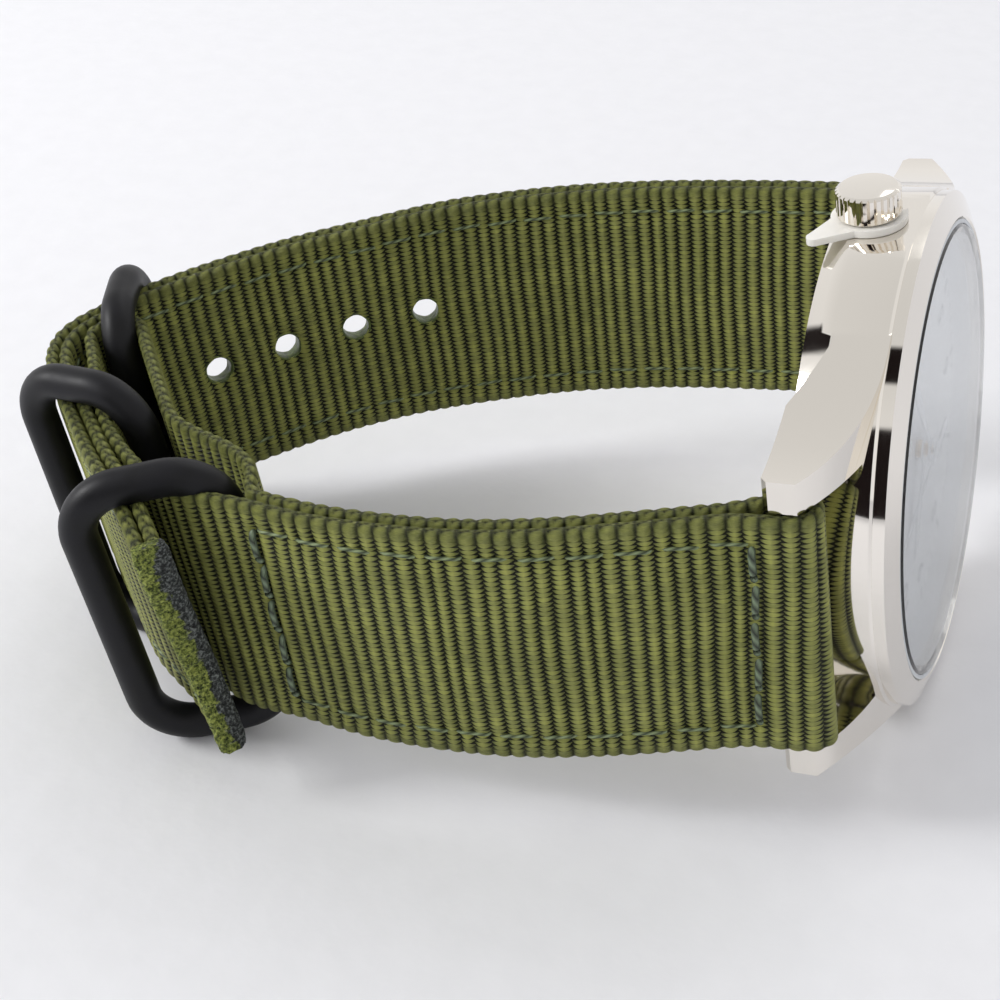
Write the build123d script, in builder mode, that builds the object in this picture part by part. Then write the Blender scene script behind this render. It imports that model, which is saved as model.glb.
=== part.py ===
from build123d import *
import os
from math import atan2, cos, degrees, radians, sin, sqrt

os.makedirs("parts", exist_ok=True)

# A field watch on a three-ring nylon strap, buckled shut and laid on its 9 o'clock flank.
# It is drawn with x towards the crown, y towards 12 o'clock and z out of the dial,
# and every piece is laid down on the table plane at the end. Lengths are millimetres.

# Fits and finish
running_fit = 0.05
push_fit = 0.02
soft_gap = 0.3
cut_overrun = 1.0
small_chamfer = 0.2

# Nylon webbing, two plies sewn together
webbing_width = 21.7
ply = 1.2
seam_gap = 0.12
bar_loop_gap = 0.1
buckle_loop_gap = 0.2
strap_rise_share = 0.045

# Middle case: everything in it keeps its distance from the flank
case_radius = 21.3
flank_top = 2.3
flank_bottom = -2.0
case_bottom = -4.1
case_bottom_inset = 0.9
bezel_recess_wall = 1.7
bezel_recess_floor = 1.2
dial_seat_wall = 3.55
dial_seat_height = -0.5
movement_bay_wall = 4.6
case_bottom_radius = case_radius - case_bottom_inset
bezel_recess_radius = case_radius - bezel_recess_wall
dial_seat_radius = case_radius - dial_seat_wall
movement_bay_radius = case_radius - movement_bay_wall

# Spring bars
bar_stand_off = 2.3
bar_height = -2.1
barrel_radius = 0.75
barrel_end_room = 1.95
plunger_radius = 0.45
pivot_radius = 0.4
pivot_depth = 1.15
plunger_travel = 1.3
plunger_grip = 2.2
collar_radius = 0.65
collar_length = 0.4

# Lugs
lug_side_room = 0.4
lug_tip_width = 2.65
lug_tip_wall = 1.5
lug_root_angle = 33
lug_top_run = 13.1
lug_top_radius = 24.0
lug_belly_run = 12.5
lug_foot_run = 7.7
lug_tip_chamfer = 0.45
bar_reach = case_radius + bar_stand_off
lug_reach = bar_reach + lug_tip_wall
lug_inner = webbing_width / 2 + lug_side_room
lug_outer = lug_inner + lug_tip_width
barrel_length = 2 * (lug_inner - barrel_end_room)

# Bezel, crystal and gasket
bezel_inset = 0.25
bezel_edge_height = 3.2
bezel_top = 3.95
crystal_inset = 2.85
crystal_seat = 2.1
crystal_top = 4.05
gasket_wall = 0.35
gasket_top = 3.88
bezel_radius = case_radius - bezel_inset
crystal_radius = case_radius - crystal_inset

# Dial and the ring round it
dial_thickness = 0.4
dial_hole_radius = 0.9
dial_ring_foot = 1.4
dial_ring_lip = 0.5

# Hands and the pipes that carry them
hour_level = 0.45
minute_level = 0.95
second_level = 1.38
hand_thickness = 0.15
hand_hub_wall = 0.55
hour_pipe_radius = 0.75
minute_pipe_radius = 0.47
second_pin_radius = 0.2
pipe_depth = 0.9
pipe_step = 0.3
hour_hand_share = 0.52
hour_hand_width = 1.7
minute_hand_share = 0.79
minute_hand_width = 1.3
second_hand_share = 0.83
second_hand_width = 0.32
second_tail_share = 0.24
second_tail_width = 0.8
hour_hand_turn = 55.0
minute_hand_turn = -60.0

# Movement, its holder and its cell
holder_wall = 3.7
movement_thickness = 2.6
holder_wall_gap = 0.05
cell_radius_share = 0.26
cell_across_share = -0.42
cell_along_share = -0.38
cell_thickness = 2.1
movement_radius = movement_bay_radius - holder_wall

# Case back
back_spigot_room = 0.15
back_spigot_top = -3.3
back_spigot_wall = 0.95
back_gasket_room = 0.2
back_gasket_width = 0.35
back_gasket_height = 0.3
back_flange_lip = 0.2
back_flange_rim = -4.55
back_bottom = -4.85
back_bevel = 0.5
back_inner_face = -4.1
opener_notches = 6
opener_notch_width = 2.4
opener_notch_depth = 0.9
back_spigot_radius = movement_bay_radius + back_spigot_room
back_bore_radius = back_spigot_radius + push_fit
back_gasket_inner = back_spigot_radius + back_gasket_room
back_gasket_outer = back_gasket_inner + back_gasket_width
back_flange_radius = back_gasket_outer + back_flange_lip
back_face_radius = back_flange_radius - back_bevel

# Crown, stem and the clip that holds the crown out
crown_axis_height = -1.6
crown_seat_depth = 0.5
crown_seat_half_length = 5.0
crown_radius = 2.48
crown_lift = 0.7
crown_height = 2.3
crown_top_wall = 0.7
crown_bevel = 0.28
crown_flutes = 30
flute_radius = 0.2
crown_bore_radius = 1.75
crown_tube_radius = 1.3
crown_tube_bore = 0.75
crown_tube_root = 2.85
crown_tube_rise = 1.6
stem_hole_radius = 0.9
crown_pipe_radius = 0.7
crown_pipe_root = 0.2
crown_gasket_length = 0.6
crown_gasket_inset = 0.1
stem_radius = 0.45
stem_bite = 3.4
stem_groove_radius = 0.28
stem_groove_bite = 1.8
stem_groove_width = 0.5
crown_pull = 0.6
lever_length = 3.2
lever_thickness = 0.4
clip_thickness = 0.55
clip_radius = 2.9
clip_tab_reach = 5.7
clip_tab_width = 2.3
clip_tab_tip_width = 1.2
clip_turn = -41.0
crown_seat = case_radius - crown_seat_depth
crown_skirt = crown_seat + crown_lift
crown_top = crown_skirt + crown_height
crown_bore_floor = crown_top - crown_top_wall
crown_tube_inner_end = crown_seat - crown_tube_root
crown_tube_outer_end = crown_seat + crown_tube_rise
crown_pipe_end = crown_seat - crown_pipe_root
stem_inner_end = movement_radius - stem_bite
stem_groove_place = movement_radius - stem_groove_bite

# Rings of bent rod
rod_radius = 1.5
ring_side_room = 2.75
ring_half_height = 6.4
ring_corner = 4.5
ring_play = 0.3
ring_half_length = webbing_width / 2 + ring_side_room

# Tang
tang_radius = 0.8
tang_overhang = 1.6
tang_eye_wall = 1.0
tang_eye_width = 2.4
tang_slot_gap = 0.35
tang_lift_gap = 0.9

# Punched holes
hole_radius = 1.15
hole_pitch = 7.1
hole_count = 7
first_hole = 25.6
hole_row_rise = 0.5

# How the watch lies: the lean of its axis back and its roll to the side, in degrees
lean_back_angle = 7.35
roll_angle = 3.1

# The closed strap, seen along the crown. Places are shares of the loop's half width and depth,
# measured outwards from its middle and back from the spring bars.
loop_half_width = 31.7
loop_depth = 70.0
buckle_side_shares = [
    (0.798, 0.073), (0.866, 0.160), (0.923, 0.241), (0.968, 0.326),
    (0.993, 0.410), (1.000, 0.496), (0.987, 0.562),
]
hole_side_shares = [
    (-0.757, 0.083), (-0.741, 0.169), (-0.719, 0.253), (-0.691, 0.337), (-0.650, 0.421),
    (-0.593, 0.503), (-0.521, 0.583), (-0.435, 0.659), (-0.331, 0.730), (-0.215, 0.797),
    (-0.084, 0.857),
]
tail_tip_share = (1.155, 0.660)
lap_middle_share = 0.435
near_ring_shares = (0.918, 0.622)
middle_ring_shares = (0.714, 0.786)
buckle_ring_shares = (0.386, 0.909)
near_ring_angle = -61.0
middle_ring_angle = -97.0
buckle_ring_angle = -155.5


def loop_point(share):
    """A place in the loop's plan, as (y, z)."""
    across, depth = share
    return (across * loop_half_width, bar_height - depth * loop_depth)


def step(point, heading, along, outward=0):
    """A place reached from a point by going along a heading and square to it, outwards."""
    return (
        point[0] + along * cos(radians(heading)) - outward * sin(radians(heading)),
        point[1] + along * sin(radians(heading)) + outward * cos(radians(heading)),
    )


def heading_of(start, end):
    """The direction from one place to another, in degrees."""
    return degrees(atan2(end[1] - start[1], end[0] - start[0]))


def direction(heading):
    return Vector(cos(radians(heading)), sin(radians(heading)))


# Planes that several pieces share
crown_plane = Plane(origin=(0, 0, crown_axis_height), x_dir=(0, 1, 0), z_dir=(1, 0, 0))
movement_top = dial_seat_height
movement_bottom = movement_top - movement_thickness
dial_top = dial_seat_height + dial_thickness
gasket_radius = crystal_radius + gasket_wall
bezel_bore_radius = gasket_radius + push_fit

# Lugs: seen on the dial each leaves the case in one hollow curve,
# and seen from the crown its top falls in an arc to a square tip.
root = (case_radius * cos(radians(lug_root_angle)), case_radius * sin(radians(lug_root_angle)))
root_tangent = (-sin(radians(lug_root_angle)), cos(radians(lug_root_angle)))
lug_top_start = lug_reach - lug_top_run
lug_tip_height = flank_top - lug_top_radius + sqrt(lug_top_radius**2 - lug_top_run**2)
with BuildPart() as lugs:
    with BuildSketch(Plane.XY.offset(case_bottom)):
        with BuildLine():
            flank = TangentArc(root, (lug_outer, lug_reach), tangent=root_tangent)
            Polyline(flank @ 1, (lug_inner, lug_reach), (lug_inner, 0), (root[0], 0), root)
        make_face()
        mirror(about=Plane.YZ)
        mirror(about=Plane.XZ)
    extrude(amount=flank_top - case_bottom)
    with BuildSketch(Plane.YZ):
        with BuildLine():
            Line((0, flank_top), (lug_top_start, flank_top))
            fall = TangentArc((lug_top_start, flank_top), (lug_reach, lug_tip_height), tangent=(1, 0))
            Polyline(
                fall @ 1,
                (lug_reach, case_bottom + lug_tip_chamfer),
                (lug_reach - lug_tip_chamfer, case_bottom),
                (lug_reach - lug_foot_run, case_bottom),
                (lug_reach - lug_belly_run, flank_bottom),
                (0, flank_bottom),
                (0, flank_top),
            )
        make_face()
        mirror(about=Plane.YZ)
    extrude(amount=case_radius, both=True, mode=Mode.INTERSECT)

with BuildPart() as mid_case:
    with BuildSketch(Plane.XZ):
        Polygon(
            (0, flank_top),
            (case_radius - small_chamfer, flank_top),
            (case_radius, flank_top - small_chamfer),
            (case_radius, flank_bottom),
            (case_bottom_radius, case_bottom),
            (0, case_bottom),
            align=None,
        )
    revolve(axis=Axis.Z)
    add(lugs.part)
    # Bores for the bezel, the dial, the movement and the case back
    with BuildSketch(Plane.XZ):
        Polygon(
            (0, flank_top + cut_overrun),
            (bezel_recess_radius, flank_top + cut_overrun),
            (bezel_recess_radius, bezel_recess_floor),
            (dial_seat_radius, bezel_recess_floor),
            (dial_seat_radius, dial_seat_height),
            (movement_bay_radius, dial_seat_height),
            (movement_bay_radius, back_spigot_top),
            (back_bore_radius, back_spigot_top),
            (back_bore_radius, case_bottom - cut_overrun),
            (0, case_bottom - cut_overrun),
            align=None,
        )
    revolve(axis=Axis.Z, mode=Mode.SUBTRACT)
    # Groove for the case back's gasket
    with BuildSketch(Plane.XY.offset(case_bottom)):
        Circle(back_gasket_outer)
        Circle(back_gasket_inner, mode=Mode.SUBTRACT)
    extrude(amount=back_gasket_height, mode=Mode.SUBTRACT)
    # Flat seat for the crown, the crown tube's bore and the hole for the stem
    with BuildSketch(Plane.YZ.offset(crown_seat)):
        Rectangle(2 * crown_seat_half_length, 2 * case_radius)
    extrude(amount=case_radius, mode=Mode.SUBTRACT)
    with BuildSketch(crown_plane.offset(crown_tube_inner_end)):
        Circle(crown_tube_radius)
    extrude(amount=case_radius, mode=Mode.SUBTRACT)
    with BuildSketch(crown_plane.offset(movement_bay_radius - cut_overrun)):
        Circle(stem_hole_radius)
    extrude(amount=case_radius, mode=Mode.SUBTRACT)
    # Blind holes in the lugs for the spring bars' pivots
    with BuildSketch(Plane.YZ.offset(-lug_inner - pivot_depth - running_fit)):
        with Locations((bar_reach, bar_height), (-bar_reach, bar_height)):
            Circle(pivot_radius + running_fit)
    extrude(amount=2 * (lug_inner + pivot_depth + running_fit), mode=Mode.SUBTRACT)

with BuildPart() as bezel:
    with BuildSketch(Plane.XZ):
        Polygon(
            (dial_seat_radius, bezel_recess_floor),
            (bezel_recess_radius - push_fit, bezel_recess_floor),
            (bezel_recess_radius - push_fit, flank_top),
            (bezel_radius, flank_top),
            (bezel_radius, bezel_edge_height),
            (bezel_bore_radius + small_chamfer, bezel_top),
            (bezel_bore_radius, bezel_top - small_chamfer),
            (bezel_bore_radius, crystal_seat),
            (dial_seat_radius, crystal_seat),
            align=None,
        )
    revolve(axis=Axis.Z)

with BuildPart() as crystal_gasket:
    with BuildSketch(Plane.XY.offset(crystal_seat)):
        Circle(gasket_radius)
        Circle(crystal_radius + push_fit, mode=Mode.SUBTRACT)
    extrude(amount=gasket_top - crystal_seat)

with BuildPart() as crystal:
    with BuildSketch(Plane.XZ):
        Polygon(
            (0, crystal_seat),
            (crystal_radius, crystal_seat),
            (crystal_radius, crystal_top - small_chamfer),
            (crystal_radius - small_chamfer, crystal_top),
            (0, crystal_top),
            align=None,
        )
    revolve(axis=Axis.Z)

with BuildPart() as dial_ring:
    with BuildSketch(Plane.XZ):
        Polygon(
            (dial_seat_radius - push_fit, dial_top),
            (dial_seat_radius - push_fit, bezel_recess_floor),
            (dial_seat_radius - dial_ring_lip, bezel_recess_floor),
            (dial_seat_radius - dial_ring_foot, dial_top),
            align=None,
        )
    revolve(axis=Axis.Z)

with BuildPart() as dial:
    with BuildSketch(Plane.XY.offset(dial_seat_height)):
        Circle(dial_seat_radius - push_fit)
        Circle(dial_hole_radius, mode=Mode.SUBTRACT)
    extrude(amount=dial_thickness)

# The hour pipe runs in the movement, the minute pipe in it and the second hand's pin in that
hour_bore = minute_pipe_radius + running_fit
minute_bore = second_pin_radius + running_fit
with BuildPart() as hour_pipe:
    with BuildSketch(Plane.XY.offset(movement_top - pipe_depth)):
        Circle(hour_pipe_radius)
        Circle(hour_bore, mode=Mode.SUBTRACT)
    extrude(amount=hour_level + hand_thickness - movement_top + pipe_depth)

with BuildPart() as minute_pipe:
    with BuildSketch(Plane.XY.offset(movement_top - pipe_depth - pipe_step)):
        Circle(minute_pipe_radius)
        Circle(minute_bore, mode=Mode.SUBTRACT)
    extrude(amount=minute_level + hand_thickness - movement_top + pipe_depth + pipe_step)

with BuildPart() as second_pin:
    with BuildSketch(Plane.XY.offset(movement_top - pipe_depth - 2 * pipe_step)):
        Circle(second_pin_radius)
    extrude(amount=second_level + hand_thickness - movement_top + pipe_depth + 2 * pipe_step)


def sword(length, width, bore):
    """A sword hand's outline along +Y: a narrow neck, a shoulder and a long point."""
    waist_share, shoulder_share, neck_share = 0.24, 0.66, 0.34
    neck = width / 2 * neck_share
    Polygon(
        (neck, 0),
        (neck, length * waist_share),
        (width / 2, length * shoulder_share),
        (0, length),
        (-width / 2, length * shoulder_share),
        (-neck, length * waist_share),
        (-neck, 0),
        align=None,
    )
    Circle(bore + hand_hub_wall)
    Circle(bore, mode=Mode.SUBTRACT)


with BuildPart() as hour_hand:
    with BuildSketch(Plane.XY.offset(hour_level).rotated((0, 0, hour_hand_turn))):
        sword(hour_hand_share * dial_seat_radius, hour_hand_width, hour_pipe_radius)
    extrude(amount=hand_thickness)

with BuildPart() as minute_hand:
    with BuildSketch(Plane.XY.offset(minute_level).rotated((0, 0, minute_hand_turn))):
        sword(minute_hand_share * dial_seat_radius, minute_hand_width, minute_pipe_radius)
    extrude(amount=hand_thickness)

second_hand_length = second_hand_share * dial_seat_radius
second_tail_length = second_tail_share * dial_seat_radius
with BuildPart() as second_hand:
    with BuildSketch(Plane.XY.offset(second_level)):
        Circle(second_pin_radius + hand_hub_wall)
        with Locations((0, second_hand_length / 2)):
            Rectangle(second_hand_width, second_hand_length)
        with Locations((0, -second_tail_length / 2)):
            Rectangle(second_tail_width, second_tail_length)
        Circle(second_pin_radius, mode=Mode.SUBTRACT)
    extrude(amount=hand_thickness)

# Movement with its round cell let into the back, and the slot for the setting lever
cell_radius = cell_radius_share * movement_radius
cell_place = (cell_across_share * movement_radius, cell_along_share * movement_radius)
lever_slot_end = stem_groove_place + lever_thickness / 2 + crown_pull + running_fit
lever_slot_start = stem_groove_place - lever_thickness / 2 - running_fit
with BuildPart() as movement:
    with BuildSketch(Plane.XY.offset(movement_bottom)):
        Circle(movement_radius)
    extrude(amount=movement_thickness)
    with BuildSketch(Plane.XY.offset(movement_bottom)):
        with Locations(cell_place):
            Circle(cell_radius + running_fit)
        with Locations(((lever_slot_start + lever_slot_end) / 2, 0)):
            Rectangle(lever_slot_end - lever_slot_start, lever_length + 2 * running_fit)
    extrude(amount=cell_thickness, mode=Mode.SUBTRACT)
    with BuildSketch(Plane.XY.offset(movement_top - pipe_depth)):
        Circle(hour_pipe_radius + running_fit)
    extrude(amount=movement_thickness, mode=Mode.SUBTRACT)
    with BuildSketch(Plane.XY.offset(movement_top - pipe_depth - pipe_step)):
        Circle(minute_pipe_radius + running_fit)
    extrude(amount=movement_thickness, mode=Mode.SUBTRACT)
    with BuildSketch(Plane.XY.offset(movement_top - pipe_depth - 2 * pipe_step)):
        Circle(second_pin_radius + running_fit)
    extrude(amount=movement_thickness, mode=Mode.SUBTRACT)
    with BuildSketch(crown_plane.offset(stem_inner_end - running_fit)):
        Circle(stem_radius + running_fit)
    extrude(amount=movement_radius, mode=Mode.SUBTRACT)

with BuildPart() as cell:
    with BuildSketch(Plane.XY.offset(movement_bottom)):
        with Locations(cell_place):
            Circle(cell_radius)
    extrude(amount=cell_thickness)

with BuildPart() as movement_holder:
    with BuildSketch(Plane.XY.offset(movement_bottom)):
        Circle(movement_bay_radius - holder_wall_gap)
        Circle(movement_radius + push_fit, mode=Mode.SUBTRACT)
    extrude(amount=movement_thickness)
    with BuildSketch(crown_plane.offset(movement_radius - cut_overrun)):
        Circle(stem_hole_radius)
    extrude(amount=movement_bay_radius, mode=Mode.SUBTRACT)

with BuildPart() as case_back:
    with BuildSketch(Plane.XZ):
        Polygon(
            (0, back_inner_face),
            (back_spigot_radius - back_spigot_wall, back_inner_face),
            (back_spigot_radius - back_spigot_wall, back_spigot_top),
            (back_spigot_radius, back_spigot_top),
            (back_spigot_radius, case_bottom),
            (back_flange_radius, case_bottom),
            (back_flange_radius, back_flange_rim),
            (back_face_radius, back_bottom),
            (0, back_bottom),
            align=None,
        )
    revolve(axis=Axis.Z)
    with BuildSketch(Plane.XY.offset(back_bottom)):
        with PolarLocations(back_flange_radius - opener_notch_depth / 2, opener_notches):
            Rectangle(opener_notch_depth + cut_overrun / 2, opener_notch_width)
    extrude(amount=(back_inner_face - back_bottom) / 2, mode=Mode.SUBTRACT)

with BuildPart() as case_back_gasket:
    with BuildSketch(Plane.XY.offset(case_bottom)):
        Circle(back_gasket_outer - push_fit)
        Circle(back_gasket_inner + push_fit, mode=Mode.SUBTRACT)
    extrude(amount=back_gasket_height - push_fit)

# Crown group, all round one axis square to the flank
with BuildPart() as crown_tube:
    with BuildSketch(crown_plane.offset(crown_tube_inner_end)):
        Circle(crown_tube_radius - push_fit)
        Circle(crown_tube_bore, mode=Mode.SUBTRACT)
    extrude(amount=crown_tube_outer_end - crown_tube_inner_end)

with BuildPart() as crown:
    with BuildSketch(crown_plane.offset(crown_skirt)):
        Circle(crown_radius)
        with PolarLocations(crown_radius, crown_flutes):
            RegularPolygon(flute_radius, side_count=3, rotation=60, mode=Mode.SUBTRACT)
    extrude(amount=crown_top - crown_skirt)
    crown_profile = Plane(origin=(0, 0, crown_axis_height), x_dir=(0, 1, 0), z_dir=(0, 0, -1))
    with BuildSketch(crown_profile):
        with BuildLine():
            Polyline(
                (0, crown_skirt),
                (crown_radius - crown_bevel / 2, crown_skirt),
                (crown_radius, crown_skirt + crown_bevel / 2),
                (crown_radius, crown_top - crown_bevel),
                (crown_radius - crown_bevel, crown_top - crown_bevel / 4),
            )
            ThreePointArc(
                (crown_radius - crown_bevel, crown_top - crown_bevel / 4),
                (crown_radius / 2, crown_top - crown_bevel / 16),
                (0, crown_top),
            )
            Line((0, crown_top), (0, crown_skirt))
        make_face()
    revolve(axis=Axis((0, 0, crown_axis_height), (1, 0, 0)), mode=Mode.INTERSECT)
    with BuildSketch(crown_plane.offset(crown_skirt)):
        Circle(crown_bore_radius)
    extrude(amount=crown_bore_floor - crown_skirt, mode=Mode.SUBTRACT)
    with BuildSketch(crown_plane.offset(crown_pipe_end)):
        Circle(crown_pipe_radius)
    extrude(amount=crown_bore_floor - crown_pipe_end)
    with BuildSketch(crown_plane.offset(crown_pipe_end - cut_overrun)):
        Circle(stem_radius + push_fit)
    extrude(amount=crown_bore_floor - crown_pipe_end + cut_overrun, mode=Mode.SUBTRACT)

with BuildPart() as crown_gasket:
    with BuildSketch(crown_plane.offset(crown_skirt + crown_gasket_inset)):
        Circle(crown_bore_radius - push_fit)
        Circle(crown_tube_radius + running_fit, mode=Mode.SUBTRACT)
    extrude(amount=crown_gasket_length)

with BuildPart() as winding_stem:
    with BuildSketch(crown_plane.offset(stem_inner_end)):
        Circle(stem_radius)
    extrude(amount=crown_bore_floor - stem_inner_end)
    with BuildSketch(crown_plane.offset(stem_groove_place - stem_groove_width / 2)):
        Circle(stem_radius + cut_overrun)
        Circle(stem_groove_radius, mode=Mode.SUBTRACT)
    extrude(amount=stem_groove_width, mode=Mode.SUBTRACT)

# The setting lever's fork rides in the stem's groove and slides with it
with BuildPart() as setting_lever:
    with BuildSketch(crown_plane.offset(stem_groove_place - lever_thickness / 2)):
        with Locations((0, (movement_bottom - crown_axis_height + stem_radius) / 2)):
            Rectangle(lever_length, crown_axis_height + stem_radius - movement_bottom)
        Circle(stem_groove_radius + running_fit, mode=Mode.SUBTRACT)
        with Locations((0, stem_radius)):
            Rectangle(2 * (stem_groove_radius + running_fit), 2 * stem_radius, mode=Mode.SUBTRACT)
    extrude(amount=lever_thickness)

# Clip of soft plastic that grips the crown tube and holds the crown out,
# with a rounded tab to pull it off by
clip_pull = Vector(0, cos(radians(clip_turn)), sin(radians(clip_turn)))
clip_plane = Plane(
    origin=(crown_seat + running_fit, 0, crown_axis_height),
    x_dir=clip_pull,
    z_dir=(1, 0, 0),
)
with BuildPart() as crown_stopper:
    with BuildSketch(clip_plane):
        Circle(clip_radius)
        with BuildLine():
            Polyline(
                (0, clip_tab_width),
                (clip_tab_reach - clip_tab_tip_width / 2, clip_tab_tip_width / 2),
                (clip_tab_reach - clip_tab_tip_width / 2, -clip_tab_tip_width / 2),
                (0, -clip_tab_width),
                (0, clip_tab_width),
            )
        make_face()
        with Locations((clip_tab_reach - clip_tab_tip_width / 2, 0)):
            Circle(clip_tab_tip_width / 2)
        Circle(crown_tube_radius + running_fit, mode=Mode.SUBTRACT)
        with Locations((-clip_radius / 2, 0)):
            Rectangle(clip_radius, 2 * (crown_tube_radius + running_fit), mode=Mode.SUBTRACT)
    extrude(amount=clip_thickness)


def spring_bar(reach):
    """The barrel of one spring bar, bored for its two plungers."""
    with BuildPart() as barrel:
        with BuildSketch(Plane(origin=(-barrel_length / 2, reach, bar_height), z_dir=(1, 0, 0))):
            Circle(barrel_radius)
            Circle(plunger_radius + push_fit, mode=Mode.SUBTRACT)
        extrude(amount=barrel_length)
    return barrel


def bar_tip(reach, side):
    """One sprung plunger: a shank in the barrel, a collar and the pivot in the lug."""
    shank_start = barrel_length / 2 - plunger_grip
    collar_end = barrel_length / 2 + plunger_travel + collar_length
    tip_plane = Plane(origin=(0, reach, bar_height), x_dir=(0, 1, 0), z_dir=(side, 0, 0))
    with BuildPart() as tip:
        with BuildSketch(tip_plane.offset(shank_start)):
            Circle(plunger_radius)
        extrude(amount=collar_end - shank_start)
        with BuildSketch(tip_plane.offset(collar_end - collar_length)):
            Circle(collar_radius)
        extrude(amount=collar_length)
        with BuildSketch(tip_plane.offset(collar_end)):
            Circle(pivot_radius)
        extrude(amount=lug_inner + pivot_depth - collar_end)
    return tip


spring_bar_12 = spring_bar(bar_reach)
spring_bar_6 = spring_bar(-bar_reach)
bar_tip_12_crown = bar_tip(bar_reach, 1)
bar_tip_12_far = bar_tip(bar_reach, -1)
bar_tip_6_crown = bar_tip(-bar_reach, 1)
bar_tip_6_far = bar_tip(-bar_reach, -1)

# The table plane: unit normal in the watch's own axes, and its distance below the dial's axis
lie = Vector(
    cos(radians(lean_back_angle)) * cos(radians(roll_angle)),
    -cos(radians(lean_back_angle)) * sin(radians(roll_angle)),
    sin(radians(lean_back_angle)),
)
table_drop = case_radius * sqrt(lie.X**2 + lie.Y**2) - flank_bottom * lie.Z


def band_centre(z):
    """The strap's middle height, towards the crown: it rises evenly from the lugs to the buckle."""
    return strap_rise_share * (bar_height - z)


def ring_plane(bar, lean, slope):
    """The plane of one ring: x along it, y from its inner bar out, standing on the table."""
    middle = step(bar, lean, ring_half_height)
    out = Vector(0, direction(lean).X, direction(lean).Y)
    along = Vector(1, 0, -slope)
    along = (along - out * along.dot(out)).normalized()
    # The bent corner of the rod is what touches the table
    along_lie, out_lie = abs(along.dot(lie)), abs(out.dot(lie))
    straight = along_lie * (ring_half_length - ring_corner) + out_lie * (ring_half_height - ring_corner)
    reach = straight + ring_corner * sqrt(along_lie**2 + out_lie**2) + rod_radius
    rise = reach - table_drop - Vector(0, *middle).dot(lie)
    return Plane(origin=(rise / lie.X, *middle), x_dir=along, z_dir=along.cross(out))


def ring(plane):
    """A round rod bent into a long ring."""
    with BuildPart() as bent_rod:
        with BuildLine(plane) as route:
            FilletPolyline(
                (-ring_half_length, -ring_half_height),
                (ring_half_length, -ring_half_height),
                (ring_half_length, ring_half_height),
                (-ring_half_length, ring_half_height),
                radius=ring_corner,
                close=True,
            )
        with BuildSketch(Plane(origin=route.line @ 0, z_dir=route.line % 0)):
            Circle(rod_radius)
        sweep()
    return bent_rod


near_bar = loop_point(near_ring_shares)
middle_bar = loop_point(middle_ring_shares)
buckle_bar = loop_point(buckle_ring_shares)
near_plane = ring_plane(near_bar, near_ring_angle, strap_rise_share)
middle_plane = ring_plane(middle_bar, middle_ring_angle, strap_rise_share)
buckle_plane = ring_plane(buckle_bar, buckle_ring_angle, 0)
keeper_ring_near = ring(near_plane)
keeper_ring_middle = ring(middle_plane)
buckle_ring = ring(buckle_plane)

# Where the webbing's edge passes a ring, the bent corner leaves the window this much narrower
window_corner = ring_corner - rod_radius
edge_in_corner = webbing_width / 2 + 5 * ring_play / 2 - (ring_half_length - ring_corner)
corner_rise = ring_corner - sqrt(window_corner**2 - edge_in_corner**2)


def through_window(bar, lean, heading, clear):
    """Where a band crosses a ring at a heading, its near face this far out from the inner bar."""
    crossing = sin(radians(abs(heading - lean)))
    return step(bar, lean, clear[0] + clear[1] / crossing)


# Headings of the strap at the rings, in degrees
near_angle = -113.0
inner_near_angle = -137.0
middle_angle = -139.5
buckle_angle = -142.0
tail_near_angle = 45.0
tail_middle_angle = 42.0
tail_buckle_angle = -34.0

# The buckle side: sewn double from its fold at the lugs to the near ring, then two plies
# that part round the inner bars of both keeper rings and meet in a fold round the buckle ring
bar_12 = (bar_reach, bar_height)
bar_6 = (-bar_reach, bar_height)
bar_fold_radius = barrel_radius + bar_loop_gap + ply / 2
buckle_fold_radius = rod_radius + buckle_loop_gap + ply / 2
sewn_12 = Spline(*[loop_point(share) for share in buckle_side_shares])
near_start = corner_rise + 3 * ring_play / 2
middle_start = corner_rise + ring_play
outer_at_near = through_window(near_bar, near_ring_angle, near_angle, (near_start, ply / 2))
outer_at_middle = through_window(middle_bar, middle_ring_angle, middle_angle, (middle_start, ply / 2))
inner_lift = rod_radius + ring_play + ply / 2
inner_at_near = step(near_bar, inner_near_angle, 0, -inner_lift)
inner_at_middle = step(middle_bar, middle_angle, 0, -inner_lift)
fold_middle = step(buckle_bar, buckle_angle, corner_rise - rod_radius)

seam = sewn_12 @ 1
onward = sewn_12 % 1
half_ply = Vector(-onward.Y, onward.X) * ply / 2
fold_out = step(fold_middle, buckle_angle, 0, buckle_fold_radius)
fold_in = step(fold_middle, buckle_angle, 0, -buckle_fold_radius)
outer_ply = Spline(
    seam + half_ply,
    outer_at_near,
    outer_at_middle,
    fold_out,
    tangents=(onward, *[direction(heading) for heading in (near_angle, middle_angle, buckle_angle)]),
)

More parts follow.
